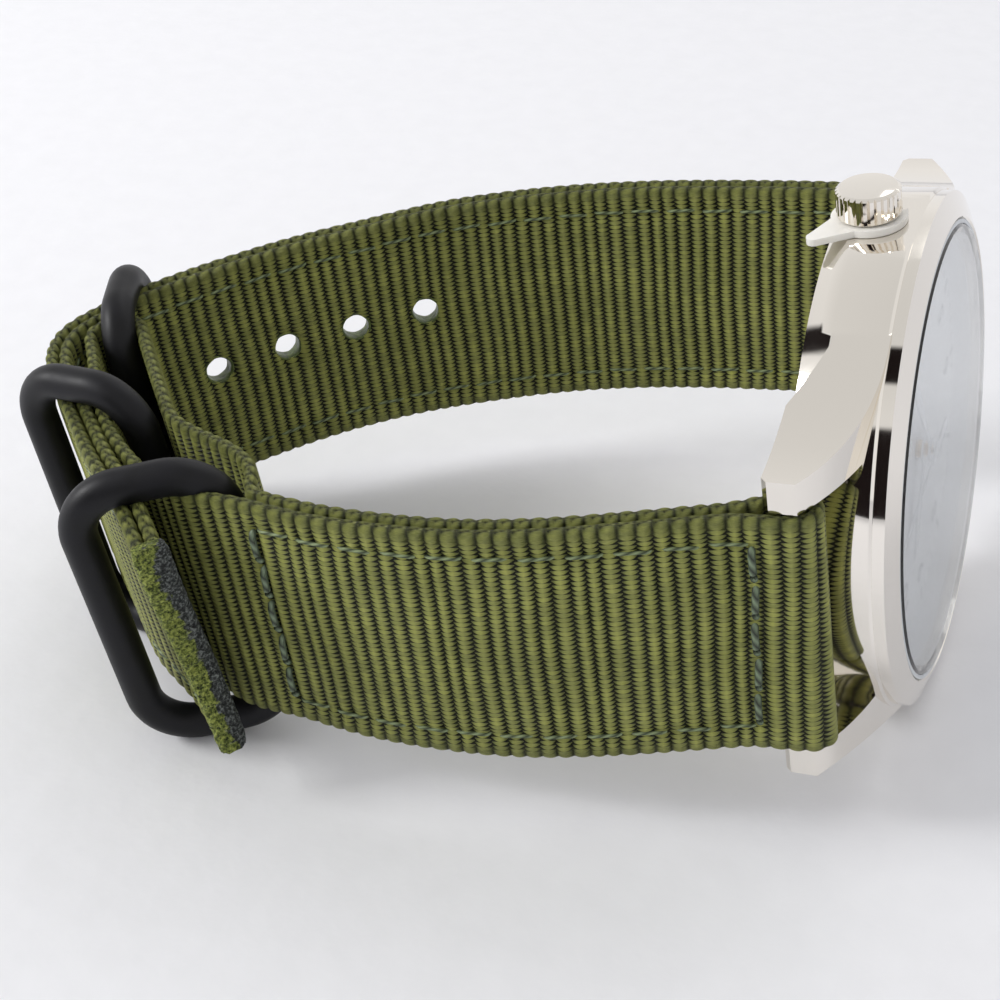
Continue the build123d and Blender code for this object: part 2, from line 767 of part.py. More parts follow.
# The hole side: sewn double all the way, up through the buckle ring from the wrist side,
# over the buckle's fold and on through both keeper rings on top of the other strap
over_fold = rod_radius + buckle_loop_gap + 2 * ply + 2 * seam_gap
middle_lap = (ply + 3 * seam_gap / 2) / sin(radians(middle_ring_angle - middle_angle))
near_lap = (2 * ply - 2 * running_fit) / sin(radians(near_ring_angle - near_angle))
between = outer_ply @ lap_middle_share
across = outer_ply % lap_middle_share
lift = 3 * ply / 2 + seam_gap
sewn_6 = Spline(
    *[loop_point(share) for share in hole_side_shares],
    step(fold_middle, tail_buckle_angle, 0, -over_fold),
    step(fold_middle, 0, 0, -over_fold),
    through_window(middle_bar, middle_ring_angle, tail_middle_angle, (middle_start + middle_lap, ply)),
    (between.X - across.Y * lift, between.Y + across.X * lift),
    through_window(near_bar, near_ring_angle, tail_near_angle, (near_start + near_lap, ply)),
    loop_point(tail_tip_share),
)


def lug_fold(bar, sewn):
    """A ply from the sewn band out, round the spring bar and back."""
    start = sewn @ 0
    away = heading_of((start.X, start.Y), bar)
    back = (sewn % 0) * -1
    side = Vector(-back.Y, back.X) * ply / 2
    left = step(bar, away, 0, bar_fold_radius)
    right = step(bar, away, 0, -bar_fold_radius)
    Spline(start + side, left, tangents=(back, direction(away)))
    ThreePointArc(left, step(bar, away, bar_fold_radius), right)
    Spline(right, start - side, tangents=(direction(away) * -1, back * -1))


def trim_edges():
    """Cuts the strap to its width, square to its rise towards the buckle."""
    for side in (1, -1):
        edge = Plane(origin=(side * webbing_width / 2, 0, bar_height), z_dir=(side, 0, side * strap_rise_share))
        split(bisect_by=edge, keep=Keep.BOTTOM)


with BuildPart() as buckle_strap:
    with BuildSketch(Plane.YZ):
        trace(sewn_12, line_width=2 * ply)
        with BuildLine():
            lug_fold(bar_12, sewn_12)
        trace(line_width=ply)
        with BuildLine():
            add(outer_ply)
            ThreePointArc(fold_out, step(fold_middle, buckle_angle, buckle_fold_radius), fold_in)
            Spline(
                fold_in,
                inner_at_middle,
                inner_at_near,
                seam - half_ply,
                tangents=(
                    *[direction(onwards) * -1 for onwards in (buckle_angle, middle_angle, inner_near_angle)],
                    onward * -1,
                ),
            )
        trace(line_width=ply)
    extrude(amount=webbing_width, both=True)
    trim_edges()
    # Slot in the fold for the tang's eye
    with BuildSketch(buckle_plane.offset(-rod_radius - ply - ring_play)):
        with Locations((0, -ring_half_height)):
            Rectangle(tang_eye_width + 2 * soft_gap, 4 * (rod_radius + ply))
    extrude(amount=3 * (rod_radius + ply), mode=Mode.SUBTRACT)

tang_level = rod_radius + running_fit + tang_radius
with BuildPart() as hole_strap:
    with BuildSketch(Plane.YZ):
        trace(sewn_6, line_width=2 * ply)
        with BuildLine():
            lug_fold(bar_6, sewn_6)
        trace(line_width=ply)
    extrude(amount=webbing_width, both=True)
    trim_edges()
    # Punched holes, counted from the tip
    for number in range(hole_count):
        station = 1 - (first_hole + number * hole_pitch) / sewn_6.length
        place = sewn_6 @ station
        facing = sewn_6 % station
        punch = Plane(
            origin=(band_centre(place.Y) + hole_row_rise, place.X, place.Y),
            x_dir=(0, facing.X, facing.Y),
            z_dir=(0, -facing.Y, facing.X),
        )
        with BuildSketch(punch):
            Circle(hole_radius)
        extrude(amount=2 * ply, both=True, mode=Mode.SUBTRACT)
    # The hole in use is drawn long by the tang
    with BuildSketch(buckle_plane.offset(tang_level - tang_radius - tang_slot_gap)):
        Rectangle(2 * (tang_radius + tang_slot_gap), 2 * (ring_half_height - rod_radius))
    extrude(amount=2 * tang_radius + tang_slot_gap + tang_lift_gap, mode=Mode.SUBTRACT)

with BuildPart() as buckle_tang:
    eye = Plane(
        origin=buckle_plane.from_local_coords((-tang_eye_width / 2, -ring_half_height, 0)),
        x_dir=buckle_plane.y_dir,
        z_dir=buckle_plane.x_dir,
    )
    with BuildSketch(eye):
        Circle(rod_radius + running_fit + tang_eye_wall)
        Circle(rod_radius + running_fit, mode=Mode.SUBTRACT)
    extrude(amount=tang_eye_width)
    shank = Plane(
        origin=buckle_plane.from_local_coords((0, -ring_half_height, tang_level)),
        x_dir=buckle_plane.x_dir,
        z_dir=buckle_plane.y_dir,
    )
    with BuildSketch(shank):
        Circle(tang_radius)
    extrude(amount=2 * ring_half_height + tang_overhang)
    fillet(buckle_tang.faces().sort_by(Axis(shank.origin, shank.z_dir))[-1].edges(), tang_radius / 2)

# Lay every piece down: the axis leans back and the crown points up from the table
upright = Plane(origin=(0, 0, 0), x_dir=Vector(0, 0, 1) - lie * lie.Z, z_dir=lie)
to_table = upright.location.inverse()
pieces = {
    "mid_case": mid_case,
    "bezel": bezel,
    "crystal": crystal,
    "crystal_gasket": crystal_gasket,
    "dial": dial,
    "dial_ring": dial_ring,
    "hour_hand": hour_hand,
    "minute_hand": minute_hand,
    "second_hand": second_hand,
    "hour_pipe": hour_pipe,
    "minute_pipe": minute_pipe,
    "second_pin": second_pin,
    "movement": movement,
    "movement_holder": movement_holder,
    "cell": cell,
    "case_back": case_back,
    "case_back_gasket": case_back_gasket,
    "crown": crown,
    "crown_gasket": crown_gasket,
    "crown_tube": crown_tube,
    "winding_stem": winding_stem,
    "setting_lever": setting_lever,
    "crown_stopper": crown_stopper,
    "spring_bar_12": spring_bar_12,
    "spring_bar_6": spring_bar_6,
    "bar_tip_12_crown": bar_tip_12_crown,
    "bar_tip_12_far": bar_tip_12_far,
    "bar_tip_6_crown": bar_tip_6_crown,
    "bar_tip_6_far": bar_tip_6_far,
    "buckle_strap": buckle_strap,
    "hole_strap": hole_strap,
    "keeper_ring_near": keeper_ring_near,
    "keeper_ring_middle": keeper_ring_middle,
    "buckle_ring": buckle_ring,
    "buckle_tang": buckle_tang,
}
for piece in pieces.values():
    piece.part.move(to_table)
outer_box = Compound([piece.part for piece in pieces.values()]).bounding_box()
centre = outer_box.center()
for name, piece in pieces.items():
    piece.part.move(Location((-centre.X, -centre.Y, -outer_box.min.Z)))
    piece.part.label = name
    export_step(piece.part, f"parts/{name}.step")
print("overall", outer_box.size, "moved by", centre.X, centre.Y, outer_box.min.Z)
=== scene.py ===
import math
from functools import partial

import bpy
import numpy as np
from mathutils import Matrix, Vector


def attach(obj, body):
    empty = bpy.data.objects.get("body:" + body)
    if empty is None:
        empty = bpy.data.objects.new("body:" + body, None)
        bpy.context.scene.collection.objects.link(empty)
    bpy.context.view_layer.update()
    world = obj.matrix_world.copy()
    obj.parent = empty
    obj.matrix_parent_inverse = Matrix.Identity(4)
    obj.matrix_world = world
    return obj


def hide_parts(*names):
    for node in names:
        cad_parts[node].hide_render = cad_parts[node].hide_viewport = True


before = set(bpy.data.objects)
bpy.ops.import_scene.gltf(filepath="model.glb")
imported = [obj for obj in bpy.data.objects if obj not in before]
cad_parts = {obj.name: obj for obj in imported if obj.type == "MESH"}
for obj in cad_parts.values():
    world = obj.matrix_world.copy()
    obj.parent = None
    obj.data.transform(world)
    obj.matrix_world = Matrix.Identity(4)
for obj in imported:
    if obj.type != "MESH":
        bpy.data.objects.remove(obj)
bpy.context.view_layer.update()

MM = 0.001
TAU = 2 * math.pi

# The watch's own axes: x to the crown, y to 12 o'clock, z out of the dial, in
# millimetres. It lies on its 9 o'clock flank, leaning back and rolled a little.
lean_back, roll = math.radians(7.35), math.radians(3.1)
lie = np.array((math.cos(lean_back) * math.cos(roll), -math.cos(lean_back) * math.sin(roll),
                math.sin(lean_back)))
toward = np.array((0, 0, 1)) - lie * lie[2]
toward /= np.linalg.norm(toward)
AXES = np.array((toward, np.cross(lie, toward), lie))
crystal_seat = 2.1
crystal_points = np.array([v.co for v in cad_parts["crystal"].data.vertices]) @ AXES / MM
low, high = crystal_points.min(0), crystal_points.max(0)
OFFSET = np.array(((low[0] + high[0]) / 2, (low[1] + high[1]) / 2, low[2] - crystal_seat))


def laid(points):
    """Places in the watch's own axes, in millimetres, as places in the row frame, in metres."""
    return (np.asarray(points, float) + OFFSET) @ AXES.T * MM


# Materials
def srgb(colour):
    """An sRGB hex colour as linear numbers."""
    parts = [int(colour[i:i + 2], 16) / 255 for i in (1, 3, 5)]
    return tuple(c / 12.92 if c <= 0.04045 else ((c + 0.055) / 1.055) ** 2.4 for c in parts) + (1.0,)


def fill(material, made, inputs):
    """Gives a node's sockets their values, or links from other nodes' outputs."""
    for place, value in inputs:
        if isinstance(value, bpy.types.NodeSocket):
            material.node_tree.links.new(value, made.inputs[place])
        else:
            made.inputs[place].default_value = value


def add(material, kind, inputs=(), output=0, stops=(), **settings):
    """Adds one node with its settings and links, and gives one of its outputs. Inputs are values or other
    nodes' outputs, in order or by place; stops are a colour ramp's places and colours."""
    made = material.node_tree.nodes.new("ShaderNode" + kind)
    for name, value in settings.items():
        setattr(made, name, value)
    fill(material, made, inputs.items() if isinstance(inputs, dict) else enumerate(inputs))
    if stops:
        elements = made.color_ramp.elements
        while len(elements) < len(stops):
            elements.new(0.5)
        for element, (place, colour) in zip(elements, stops):
            element.position = place
            element.color = srgb(colour)
    return made.outputs[output]


def begin(name):
    """What adds nodes to a new material of this name."""
    material = bpy.data.materials.new(name)
    material.use_nodes = True
    return partial(add, material)


def finish(node, shader="Principled BSDF", **sockets):
    """The material, with plain values or links on its shader's own sockets."""
    material = node.args[0]
    fill(material, material.node_tree.nodes[shader], [(name.replace("_", " "), sockets[name]) for name in sockets])
    return material


def mottle(node, size, detail=2.0, roughness=0.5):
    """Cloudy variation over a piece, in lumps of this size in millimetres."""
    return node("TexNoise", {"Vector": node("TexCoord", output="Object"), "Scale": 1 / (size * MM),
                             "Detail": detail, "Roughness": roughness})


def shaded(node, pattern, colour, darkening):
    """A colour that a pattern takes to a darker shade of itself."""
    base = srgb(colour)
    darker = tuple(part * darkening for part in base[:3]) + (1,)
    return node("Mix", {0: pattern, 6: base, 7: darker}, 2, data_type="RGBA")


def polished_steel(name, colour, roughness, grain):
    """316L stainless steel, polished: a warm bright mirror with faint wipe marks."""
    node = begin(name)
    smear, ripple = mottle(node, 3.85, 3.0), mottle(node, 11.1, 1.0)
    return finish(node, Metallic=1.0, Base_Color=srgb(colour),
                  Roughness=node("MapRange", (smear, 0.35, 0.7, roughness, roughness + grain)),
                  Normal=node("Bump", {"Height": ripple, "Strength": 0.02, "Distance": 0.5 * MM}))


def turned_metal(name, colour, roughness):
    """Turned metal that is seldom seen: a soft lathe finish."""
    node = begin(name)
    rings = mottle(node, 0.25, 1.0)
    return finish(node, Metallic=1.0, Base_Color=srgb(colour), Roughness=roughness,
                  Normal=node("Bump", {"Height": rings, "Strength": 0.08, "Distance": 0.05 * MM}))


def moulded_plastic(name, colour, roughness, milkiness=0.0):
    """Moulded plastic with a faint flow mottle; a milky one lets light in a little."""
    node = begin(name)
    return finish(node, Roughness=roughness, IOR=1.5, Subsurface_Weight=milkiness, Subsurface_Radius=(1, 1, 0.9),
                  Subsurface_Scale=1 * MM, Base_Color=shaded(node, mottle(node, 1.43), colour, 0.9))


def ring_steel():
    """Steel rod, bead-blasted and coated black: a dull even black with a soft wide sheen."""
    node = begin("Black coated blasted steel")
    wear, grit = mottle(node, 2.38, 3.0), mottle(node, 0.111, 1.0)
    return finish(node, Metallic=0.2, Specular_IOR_Level=0.32,
                  Base_Color=node("ValToRGB", (wear,), stops=((0.3, "#0C0C0F"), (0.75, "#16161B"))),
                  Roughness=node("MapRange", (wear, 0.3, 0.75, 0.42, 0.55)),
                  Normal=node("Bump", {"Height": grit, "Strength": 0.25, "Distance": 0.04 * MM}))


def crystal_glass():
    """Mineral glass, flat and polished: clear, with a faint cold cast."""
    node = begin("Mineral glass")
    waves = mottle(node, 16.7, 1.0)
    return finish(node, Roughness=0.02, IOR=1.52, Transmission_Weight=1.0, Base_Color=srgb("#F4F7F9"),
                  Normal=node("Bump", {"Height": waves, "Strength": 0.01, "Distance": 0.2 * MM}))


def dial_lacquer(name, colour):
    """Satin silver dial lacquer: pale, a little cold, with a fine powder grain."""
    node = begin(name)
    grain = mottle(node, 0.0833, 1.0)
    return finish(node, Roughness=0.5, IOR=1.45, Base_Color=shaded(node, grain, colour, 0.93),
                  Normal=node("Bump", {"Height": grain, "Strength": 0.05, "Distance": 0.02 * MM}))


# Nylon webbing: ribs run across it, each wrapped by yarn bundles that go along it,
# over one rib and under the next
rib_pitch = 1.28
yarn_pitch = 0.43


def from_middle(node, value):
    """How far a value is from the middle of its whole step: 0 there, and 1 at both ends."""
    folded = node("Math", (value, 0.5), operation="PINGPONG")
    return node("Math", (folded, -2.0, 1.0), operation="MULTIPLY_ADD")


def nylon_webbing():
    """Olive ribbed nylon webbing: rounded yarns with a painted highlight on each rib's crest, and painted shade in
    the dark saw-tooth gaps between ribs.
    The map called weave counts ribs along and yarns across."""
    node = begin("Ribbed nylon webbing")
    place = node("UVMap", uv_map="weave")
    wobble = node("TexNoise", {"Vector": place, "Scale": 1.3})
    wobble = node("Math", (wobble, 0.1, -0.05), operation="MULTIPLY_ADD")
    along = node("Math", (node("SeparateXYZ", (place,)), wobble), operation="ADD")
    rib = node("Math", (along,), operation="FLOOR")
    from_crest = from_middle(node, along)
    stagger = node("Math", (rib, 2.0), operation="MODULO")
    yarn = node("Math", (stagger, 0.5, node("SeparateXYZ", (place,), 1)), operation="MULTIPLY_ADD")
    from_yarn = from_middle(node, yarn)
    # The woven edge is made of loops, so the yarns end there
    selvedge = node("Attribute", output="Fac", attribute_name="selvedge")
    # Painted shade where the woven edge dips between its loops
    loop_gap_shade = node("Attribute", output="Fac", attribute_name="loop_gap_shade")
    inside = node("Math", (1.0, selvedge), operation="SUBTRACT")
    # Half width of a yarn: full on the crest, tapering to a point in the valley
    valley = node("Math", (from_crest, 1.7), operation="POWER")
    half_width = node("Math", (valley, -0.86, 1.04), operation="MULTIPLY_ADD")
    over = node("Math", (from_yarn, half_width), operation="SUBTRACT")
    # The saw-tooth gaps between yarns in the valleys: they sink the bump, and in the colour they get near-black
    # painted shade
    gap = node("MapRange", (over, -0.14, 0.08), interpolation_type="SMOOTHSTEP")
    gap = node("Math", (gap, inside), operation="MULTIPLY")
    off_crest = node("Math", (from_crest, 1.4), operation="POWER")
    off_crest = node("Math", (off_crest, 0.8, 0.2), operation="MULTIPLY_ADD")
    # Painted shade: dark lines between the yarns, strongest off the crest
    seam_shade = node("MapRange", (from_yarn, 0.72, 1.0), interpolation_type="SMOOTHSTEP")
    seam_shade = node("Math", (seam_shade, inside), operation="MULTIPLY")
    seam_shade = node("Math", (seam_shade, off_crest), operation="MULTIPLY")
    cell = node("CombineXYZ", (rib, node("Math", (yarn,), operation="FLOOR")))
    chance = node("TexWhiteNoise", {"Vector": cell})
    # Fibre streaks along the yarns: raised in the bump and paler in the colour, partly real fibres and partly a
    # painted sheen
    fibre = node("Mapping", {"Vector": place, "Scale": (1.6, 11.0, 1.0)})
    fibre = node("TexNoise", {"Vector": fibre, "Scale": 1.9, "Detail": 3.0})
    fibre = node("MapRange", (fibre, 0.38, 0.66))
    loop_fibre = node("Math", (node("Math", (1.0, fibre), operation="SUBTRACT"), selvedge), operation="MULTIPLY")
    # Painted shade on the woven edge between its loops, near the rib valleys
    shade_between_loops = node("MapRange", (from_crest, 0.7, 0.98))
    shade_between_loops = node("Math", (shade_between_loops, node("Math", (selvedge, loop_gap_shade), operation="SUBTRACT")),
                         operation="MULTIPLY")
    # Painted light over each rib: a painted highlight on the crest, darkening to painted shade in the valley
    tint = node("ValToRGB", (node("MapRange", (from_crest, 0.05, 0.95)),),
                stops=((0.0, "#DDE270"), (0.5, "#BEC45A"), (0.82, "#727D36"), (1.0, "#262E12")))
    # Marks mixed in: random yarn tone and darker edge fibres are real colour; the pale fibre streaks are partly a
    # painted sheen; the dark lines between yarns, the saw-tooth gaps and the marks between edge loops are painted
    # shade
    for pattern, strength, colour in (
            (chance, 0.5, "#7A8440"), (fibre, 0.6, "#ECEC98"), (loop_fibre, 0.35, "#5C6830"),
            (seam_shade, 0.6, "#39421D"), (gap, 0.97, "#0C0F07"), (shade_between_loops, 0.8, "#161C0C"),
            (loop_gap_shade, 1.0, "#0F130A")):
        share = node("Math", (pattern, strength), operation="MULTIPLY")
        tint = node("Mix", {0: share, 6: tint, 7: srgb(colour)}, 2, data_type="RGBA")
    # Dye lots: broad patches that are a little darker
    patch = node("TexNoise", {"Vector": place, "Scale": 0.11})
    patch = node("MapRange", (patch, 0.35, 0.65, 0.0, 0.22))
    tint = node("Mix", {0: patch, 6: tint, 7: srgb("#5E6A2C")}, 2, data_type="RGBA", blend_type="MULTIPLY")
    # Round yarns, sunk gaps and raised fibres
    rounded = node("Math", (1.0, node("Math", (from_yarn, 2.0), operation="POWER")), operation="SUBTRACT")
    rounded = node("Math", (node("Math", (rounded,), operation="SQRT"), inside), operation="MULTIPLY")
    swell = node("Math", (off_crest, 0.75, 0.15), operation="MULTIPLY_ADD")
    rounded = node("Math", (rounded, swell), operation="MULTIPLY")
    height = node("Math", (gap, -1.8, rounded), operation="MULTIPLY_ADD")
    raised = node("Math", (selvedge, 0.6, 0.5), operation="MULTIPLY_ADD")
    height = node("Math", (fibre, raised, height), operation="MULTIPLY_ADD")
    return finish(node, Roughness=0.46, IOR=1.53, Specular_IOR_Level=0.3, Sheen_Weight=0.04, Sheen_Roughness=0.4,
                  Sheen_Tint=srgb("#B7C77A"), Base_Color=tint,
                  Normal=node("Bump", {"Height": height, "Strength": 1.0, "Distance": 0.22 * MM}))


def cut_webbing():
    """The strap's end, cut with a hot knife: frayed green yarn ends, charred and melted grey on the inner ply."""
    node = begin("Hot-cut nylon webbing")
    fray = mottle(node, 0.278, 3.0, 0.7)
    yarn_ends = node("ValToRGB", (fray,), stops=((0.36, "#161D0A"), (0.47, "#67742F"), (0.64, "#AFB75C")))
    char = node("ValToRGB", (fray,), stops=((0.38, "#1B1D1C"), (0.5, "#3C403E"), (0.64, "#858A86")))
    lumps = node("Math", (mottle(node, 0.769, 3.0), 0.5), operation="SUBTRACT")
    burnt = node("Attribute", output="Fac", attribute_name="burnt")
    burnt = node("MapRange", (node("Math", (lumps, 1.6, burnt), operation="MULTIPLY_ADD"), 0.42, 0.58))
    return finish(node, Roughness=0.6, IOR=1.53, Specular_IOR_Level=0.3,
                  Base_Color=node("Mix", {0: burnt, 6: yarn_ends, 7: char}, 2, data_type="RGBA"),
                  Normal=node("Bump", {"Height": fray, "Strength": 1.0, "Distance": 0.5 * MM}))


def sewing_thread(name, groove_shade, strand_colour):
    """Twisted polyester sewing thread, greyer than the webbing, with painted shade in the grooves that wind between
    its strands.
    """
    node = begin(name)
    place = node("UVMap", uv_map="weave")
    twist = node("Math", (node("SeparateXYZ", (place,)), node("SeparateXYZ", (place,), 1)), operation="ADD")
    strand = node("Math", (twist, 0.5), operation="PINGPONG")
    # Painted shade in the grooves between strands, the strand colour on their tops
    return finish(node, Roughness=0.55, IOR=1.5,
                  Base_Color=node("ValToRGB", (strand,), stops=((0.0, groove_shade), (0.5, strand_colour))),
                  Normal=node("Bump", {"Height": strand, "Strength": 0.6, "Distance": 0.1 * MM}))


def punched_nylon():
    """Nylon melted by a hot punch: darker, glassy and lumpy."""
    node = begin("Hot-punched nylon")
    lumps = mottle(node, 0.667, 3.0)
    melted = node("ValToRGB", (lumps,), stops=((0.35, "#3E4A24"), (0.55, "#56652F"), (0.75, "#74823F")))
    return finish(node, Roughness=0.4, IOR=1.53, Base_Color=melted,
                  Normal=node("Bump", {"Height": lumps, "Strength": 0.6, "Distance": 0.3 * MM}))


steel = polished_steel("Polished stainless steel", "#F0EBE3", 0.045, 0.05)
hands_steel = polished_steel("Polished hands", "#DADDE0", 0.12, 0.05)
inner_steel = turned_metal("Turned stainless steel", "#B9B5AE", 0.3)
brass = turned_metal("Turned brass", "#C9A45C", 0.28)
nickel = turned_metal("Nickel-plated movement", "#C8C2B4", 0.35)
holder_plastic = moulded_plastic("Moulded acetal holder", "#D9D6CC", 0.45)
milky_plastic = moulded_plastic("Milky polyethylene clip", "#F1EEE6", 0.32, 0.35)
rubber = moulded_plastic("Black nitrile rubber", "#1B1B1C", 0.6)
gasket_plastic = moulded_plastic("Pale nylon crystal gasket", "#D3D7DA", 0.4)
black_rod = ring_steel()
glass = crystal_glass()
dial_silver = dial_lacquer("Silver dial lacquer", "#F6F7F9")
dial_ring_silver = dial_lacquer("Silver dial ring lacquer", "#E6E8EB")
numeral_grey = dial_lacquer("Grey numeral paint", "#8F969E")
webbing = nylon_webbing()
cut_end = cut_webbing()
sealed_rim = punched_nylon()
thread = sewing_thread("Twisted polyester thread", "#232F1A", "#8A986E")
heavy_thread = sewing_thread("Heavy twisted polyester thread", "#131B10", "#76866B")


# Meshes
def piece(name, points, faces, material, body, uvs=None, smooth=True):
    """A mesh in the watch's own axes, in millimetres, that rides on a body."""
    mesh = bpy.data.meshes.new(name)
    mesh.from_pydata(laid(points).tolist(), [], faces)
    if uvs is not None:
        layer = mesh.uv_layers.new(name="weave")
        corners = np.zeros(len(mesh.loops), int)
        mesh.loops.foreach_get("vertex_index", corners)
        layer.data.foreach_set("uv", np.asarray(uvs, float)[corners].ravel())
    mesh.materials.append(material)
    mesh.polygons.foreach_set("use_smooth", [smooth] * len(mesh.polygons))
    made = bpy.data.objects.new(name, mesh)
    bpy.context.scene.collection.objects.link(made)
    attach(made, body)
    return made


def grid_faces(rows, columns, closed_rows=False, closed_columns=False, first=0):
    """Quads over a grid of points, numbered row by row from a first one."""
    faces = []
    for i in range(rows if closed_rows else rows - 1):
        for j in range(columns if closed_columns else columns - 1):
            row, next_row, next_j = first + i * columns, first + (i + 1) % rows * columns, (j + 1) % columns
            faces.append((row + j, next_row + j, next_row + next_j, row + next_j))
    return faces


# The strap's path in the plan (y, z), as the solids have it
webbing_width = 21.7
ply = 1.2
seam_gap = 0.12
running_fit = 0.05
strap_rise = 0.045
bar_height = -2.1
bar_reach = 23.6
barrel_radius = 0.75
bar_loop_gap = 0.1
buckle_loop_gap = 0.2
rod_radius = 1.5
ring_half_length = 13.6
ring_half_height = 6.4
ring_corner = 4.5
ring_play = 0.3
tang_radius = 0.8
tang_slot_gap = 0.35
hole_radius = 1.28
hole_pitch = 7.1
hole_count = 7
first_hole = 25.6
hole_row_rise = 0.5
loop_half_width = 31.7
loop_depth = 70.0
buckle_side = [(0.798, 0.073), (0.866, 0.160), (0.923, 0.241), (0.968, 0.326), (0.993, 0.410), (1.000, 0.496),
               (0.987, 0.562)]
hole_side = [(-0.757, 0.083), (-0.741, 0.169), (-0.719, 0.253), (-0.691, 0.337), (-0.650, 0.421), (-0.593, 0.503),
             (-0.521, 0.583), (-0.435, 0.659), (-0.331, 0.730), (-0.215, 0.797), (-0.084, 0.857)]
near_lean, middle_lean, buckle_lean = -61.0, -97.0, -155.5
near_angle, inner_near_angle, middle_angle, buckle_angle = -113.0, -137.0, -139.5, -142.0
tail_near_angle, tail_middle_angle, tail_buckle_angle = 45.0, 42.0, -34.0


def loop_point(share):
    """A plan point from shares of the loop's half width and depth."""
    return np.array((share[0] * loop_half_width, bar_height - share[1] * loop_depth))


def left_of(way):
    """Ways in the plan, turned a quarter to the left."""
    return np.stack((-way[..., 1], way[..., 0]), axis=-1)


def heading(angle):
    """A unit direction in the plan."""
    return np.array((math.cos(math.radians(angle)), math.sin(math.radians(angle))))


def step(point, angle, along, outward=0.0):
    """A point moved along a heading and to its left."""
    return np.asarray(point) + along * heading(angle) + outward * left_of(heading(angle))


def through_window(bar, lean, angle, clear):
    """Where a ply that heads this way crosses a ring's window, clear of its bar."""
    crossing = math.sin(math.radians(abs(angle - lean)))
    return step(bar, lean, clear[0] + clear[1] / crossing)


def smooth_line(points, tangents=None, spacing=0.1):
    """A smooth line through the points: with the given directions, or as even as it can be."""
    points = np.array(points, float)
    chords = np.linalg.norm(np.diff(points, axis=0), axis=1)
    count = len(points)
    if tangents is None:
        system, wanted = np.zeros((count, count)), np.zeros((count, 2))
        for i in range(1, count - 1):
            system[i, i - 1:i + 2] = chords[i], 2 * (chords[i - 1] + chords[i]), chords[i - 1]
            wanted[i] = 3 * (chords[i] * (points[i] - points[i - 1]) / chords[i - 1]
                             + chords[i - 1] * (points[i + 1] - points[i]) / chords[i])
        system[0, 0], system[0, 1], wanted[0] = 2, 1, 3 * (points[1] - points[0]) / chords[0]
        system[-1, -1], system[-1, -2], wanted[-1] = 2, 1, 3 * (points[-1] - points[-2]) / chords[-1]
        rates = np.linalg.solve(system, wanted)
    else:
        rates = np.array(tangents, float)
    line = []
    for i, chord in enumerate(chords):
        t = np.linspace(0, 1, max(int(chord / spacing), 2), endpoint=False)[:, None]
        line.append((2 * t**3 - 3 * t**2 + 1) * points[i] + (t**3 - 2 * t**2 + t) * chord * rates[i]
                    + (3 * t**2 - 2 * t**3) * points[i + 1] + (t**3 - t**2) * chord * rates[i + 1])
    line.append(points[-1:])
    return np.concatenate(line)


def directions(line, closed=False):
    """Unit directions along a line, in the plan or in space."""
    if closed:
        ahead = np.roll(line, -1, axis=0) - np.roll(line, 1, axis=0)
    else:
        ahead = np.gradient(line, axis=0)
    return ahead / np.linalg.norm(ahead, axis=1)[:, None]


def beside(line, distance):
    """The line moved to its left by a distance."""
    return line + distance * left_of(directions(line))


def arc(centre, start, angle_swept):
    """A round bend in the plan."""
    spoke = np.asarray(start) - centre
    turns = np.linspace(0, math.radians(angle_swept), 24)
    return centre + np.stack((spoke[0] * np.cos(turns) - spoke[1] * np.sin(turns),
                              spoke[0] * np.sin(turns) + spoke[1] * np.cos(turns)), axis=1)


def joined(*runs):
    """Runs end to end, without doubled points."""
    line = np.concatenate(runs)
    keep = np.concatenate(([True], np.linalg.norm(np.diff(line, axis=0), axis=1) > 1e-4))
    return line[keep]


def distances(line):
    """How far along a line its points are."""
    return np.concatenate(([0], np.cumsum(np.linalg.norm(np.diff(line, axis=0), axis=1))))


def evenly(line, spacing, closed=False):
    """The line divided evenly: whole spacings, first point kept."""
    if closed:
        line = np.concatenate((line, line[:1]))
    lengths = distances(line)
    parts = max(int(round(lengths[-1] / spacing)), 2)
    places = np.linspace(0, lengths[-1], parts + 1)
    if closed:
        places = places[:-1]
    return np.stack([np.interp(places, lengths, line[:, k]) for k in (0, 1)], axis=1), lengths[-1]


near_bar, middle_bar, buckle_bar = (loop_point(share) for share in
                                    ((0.918, 0.622), (0.714, 0.786), (0.386, 0.909)))
window_corner = ring_corner - rod_radius
edge_in_corner = webbing_width / 2 + 5 * ring_play / 2 - (ring_half_length - ring_corner)
corner_rise = ring_corner - math.sqrt(window_corner**2 - edge_in_corner**2)
bar_fold_radius = barrel_radius + bar_loop_gap + ply / 2
buckle_fold_radius = rod_radius + buckle_loop_gap + ply / 2
near_start = corner_rise + 3 * ring_play / 2
middle_start = corner_rise + ring_play
inner_lift = rod_radius + ring_play + ply / 2

sewn_12 = smooth_line([loop_point(share) for share in buckle_side])
onward = directions(sewn_12)[-1]
half_ply = left_of(onward) * ply / 2
fold_middle = step(buckle_bar, buckle_angle, corner_rise - rod_radius)
fold_out = step(fold_middle, buckle_angle, 0, buckle_fold_radius)
fold_in = step(fold_middle, buckle_angle, 0, -buckle_fold_radius)
outer_ply = smooth_line(
    [sewn_12[-1] + half_ply,
     through_window(near_bar, near_lean, near_angle, (near_start, ply / 2)),
     through_window(middle_bar, middle_lean, middle_angle, (middle_start, ply / 2)),
     fold_out],
    [onward, heading(near_angle), heading(middle_angle), heading(buckle_angle)],
)
inner_ply = smooth_line(
    [fold_in,
     step(middle_bar, middle_angle, 0, -inner_lift),
     step(near_bar, inner_near_angle, 0, -inner_lift),
     sewn_12[-1] - half_ply],
    [-heading(buckle_angle), -heading(middle_angle), -heading(inner_near_angle), -onward],
)

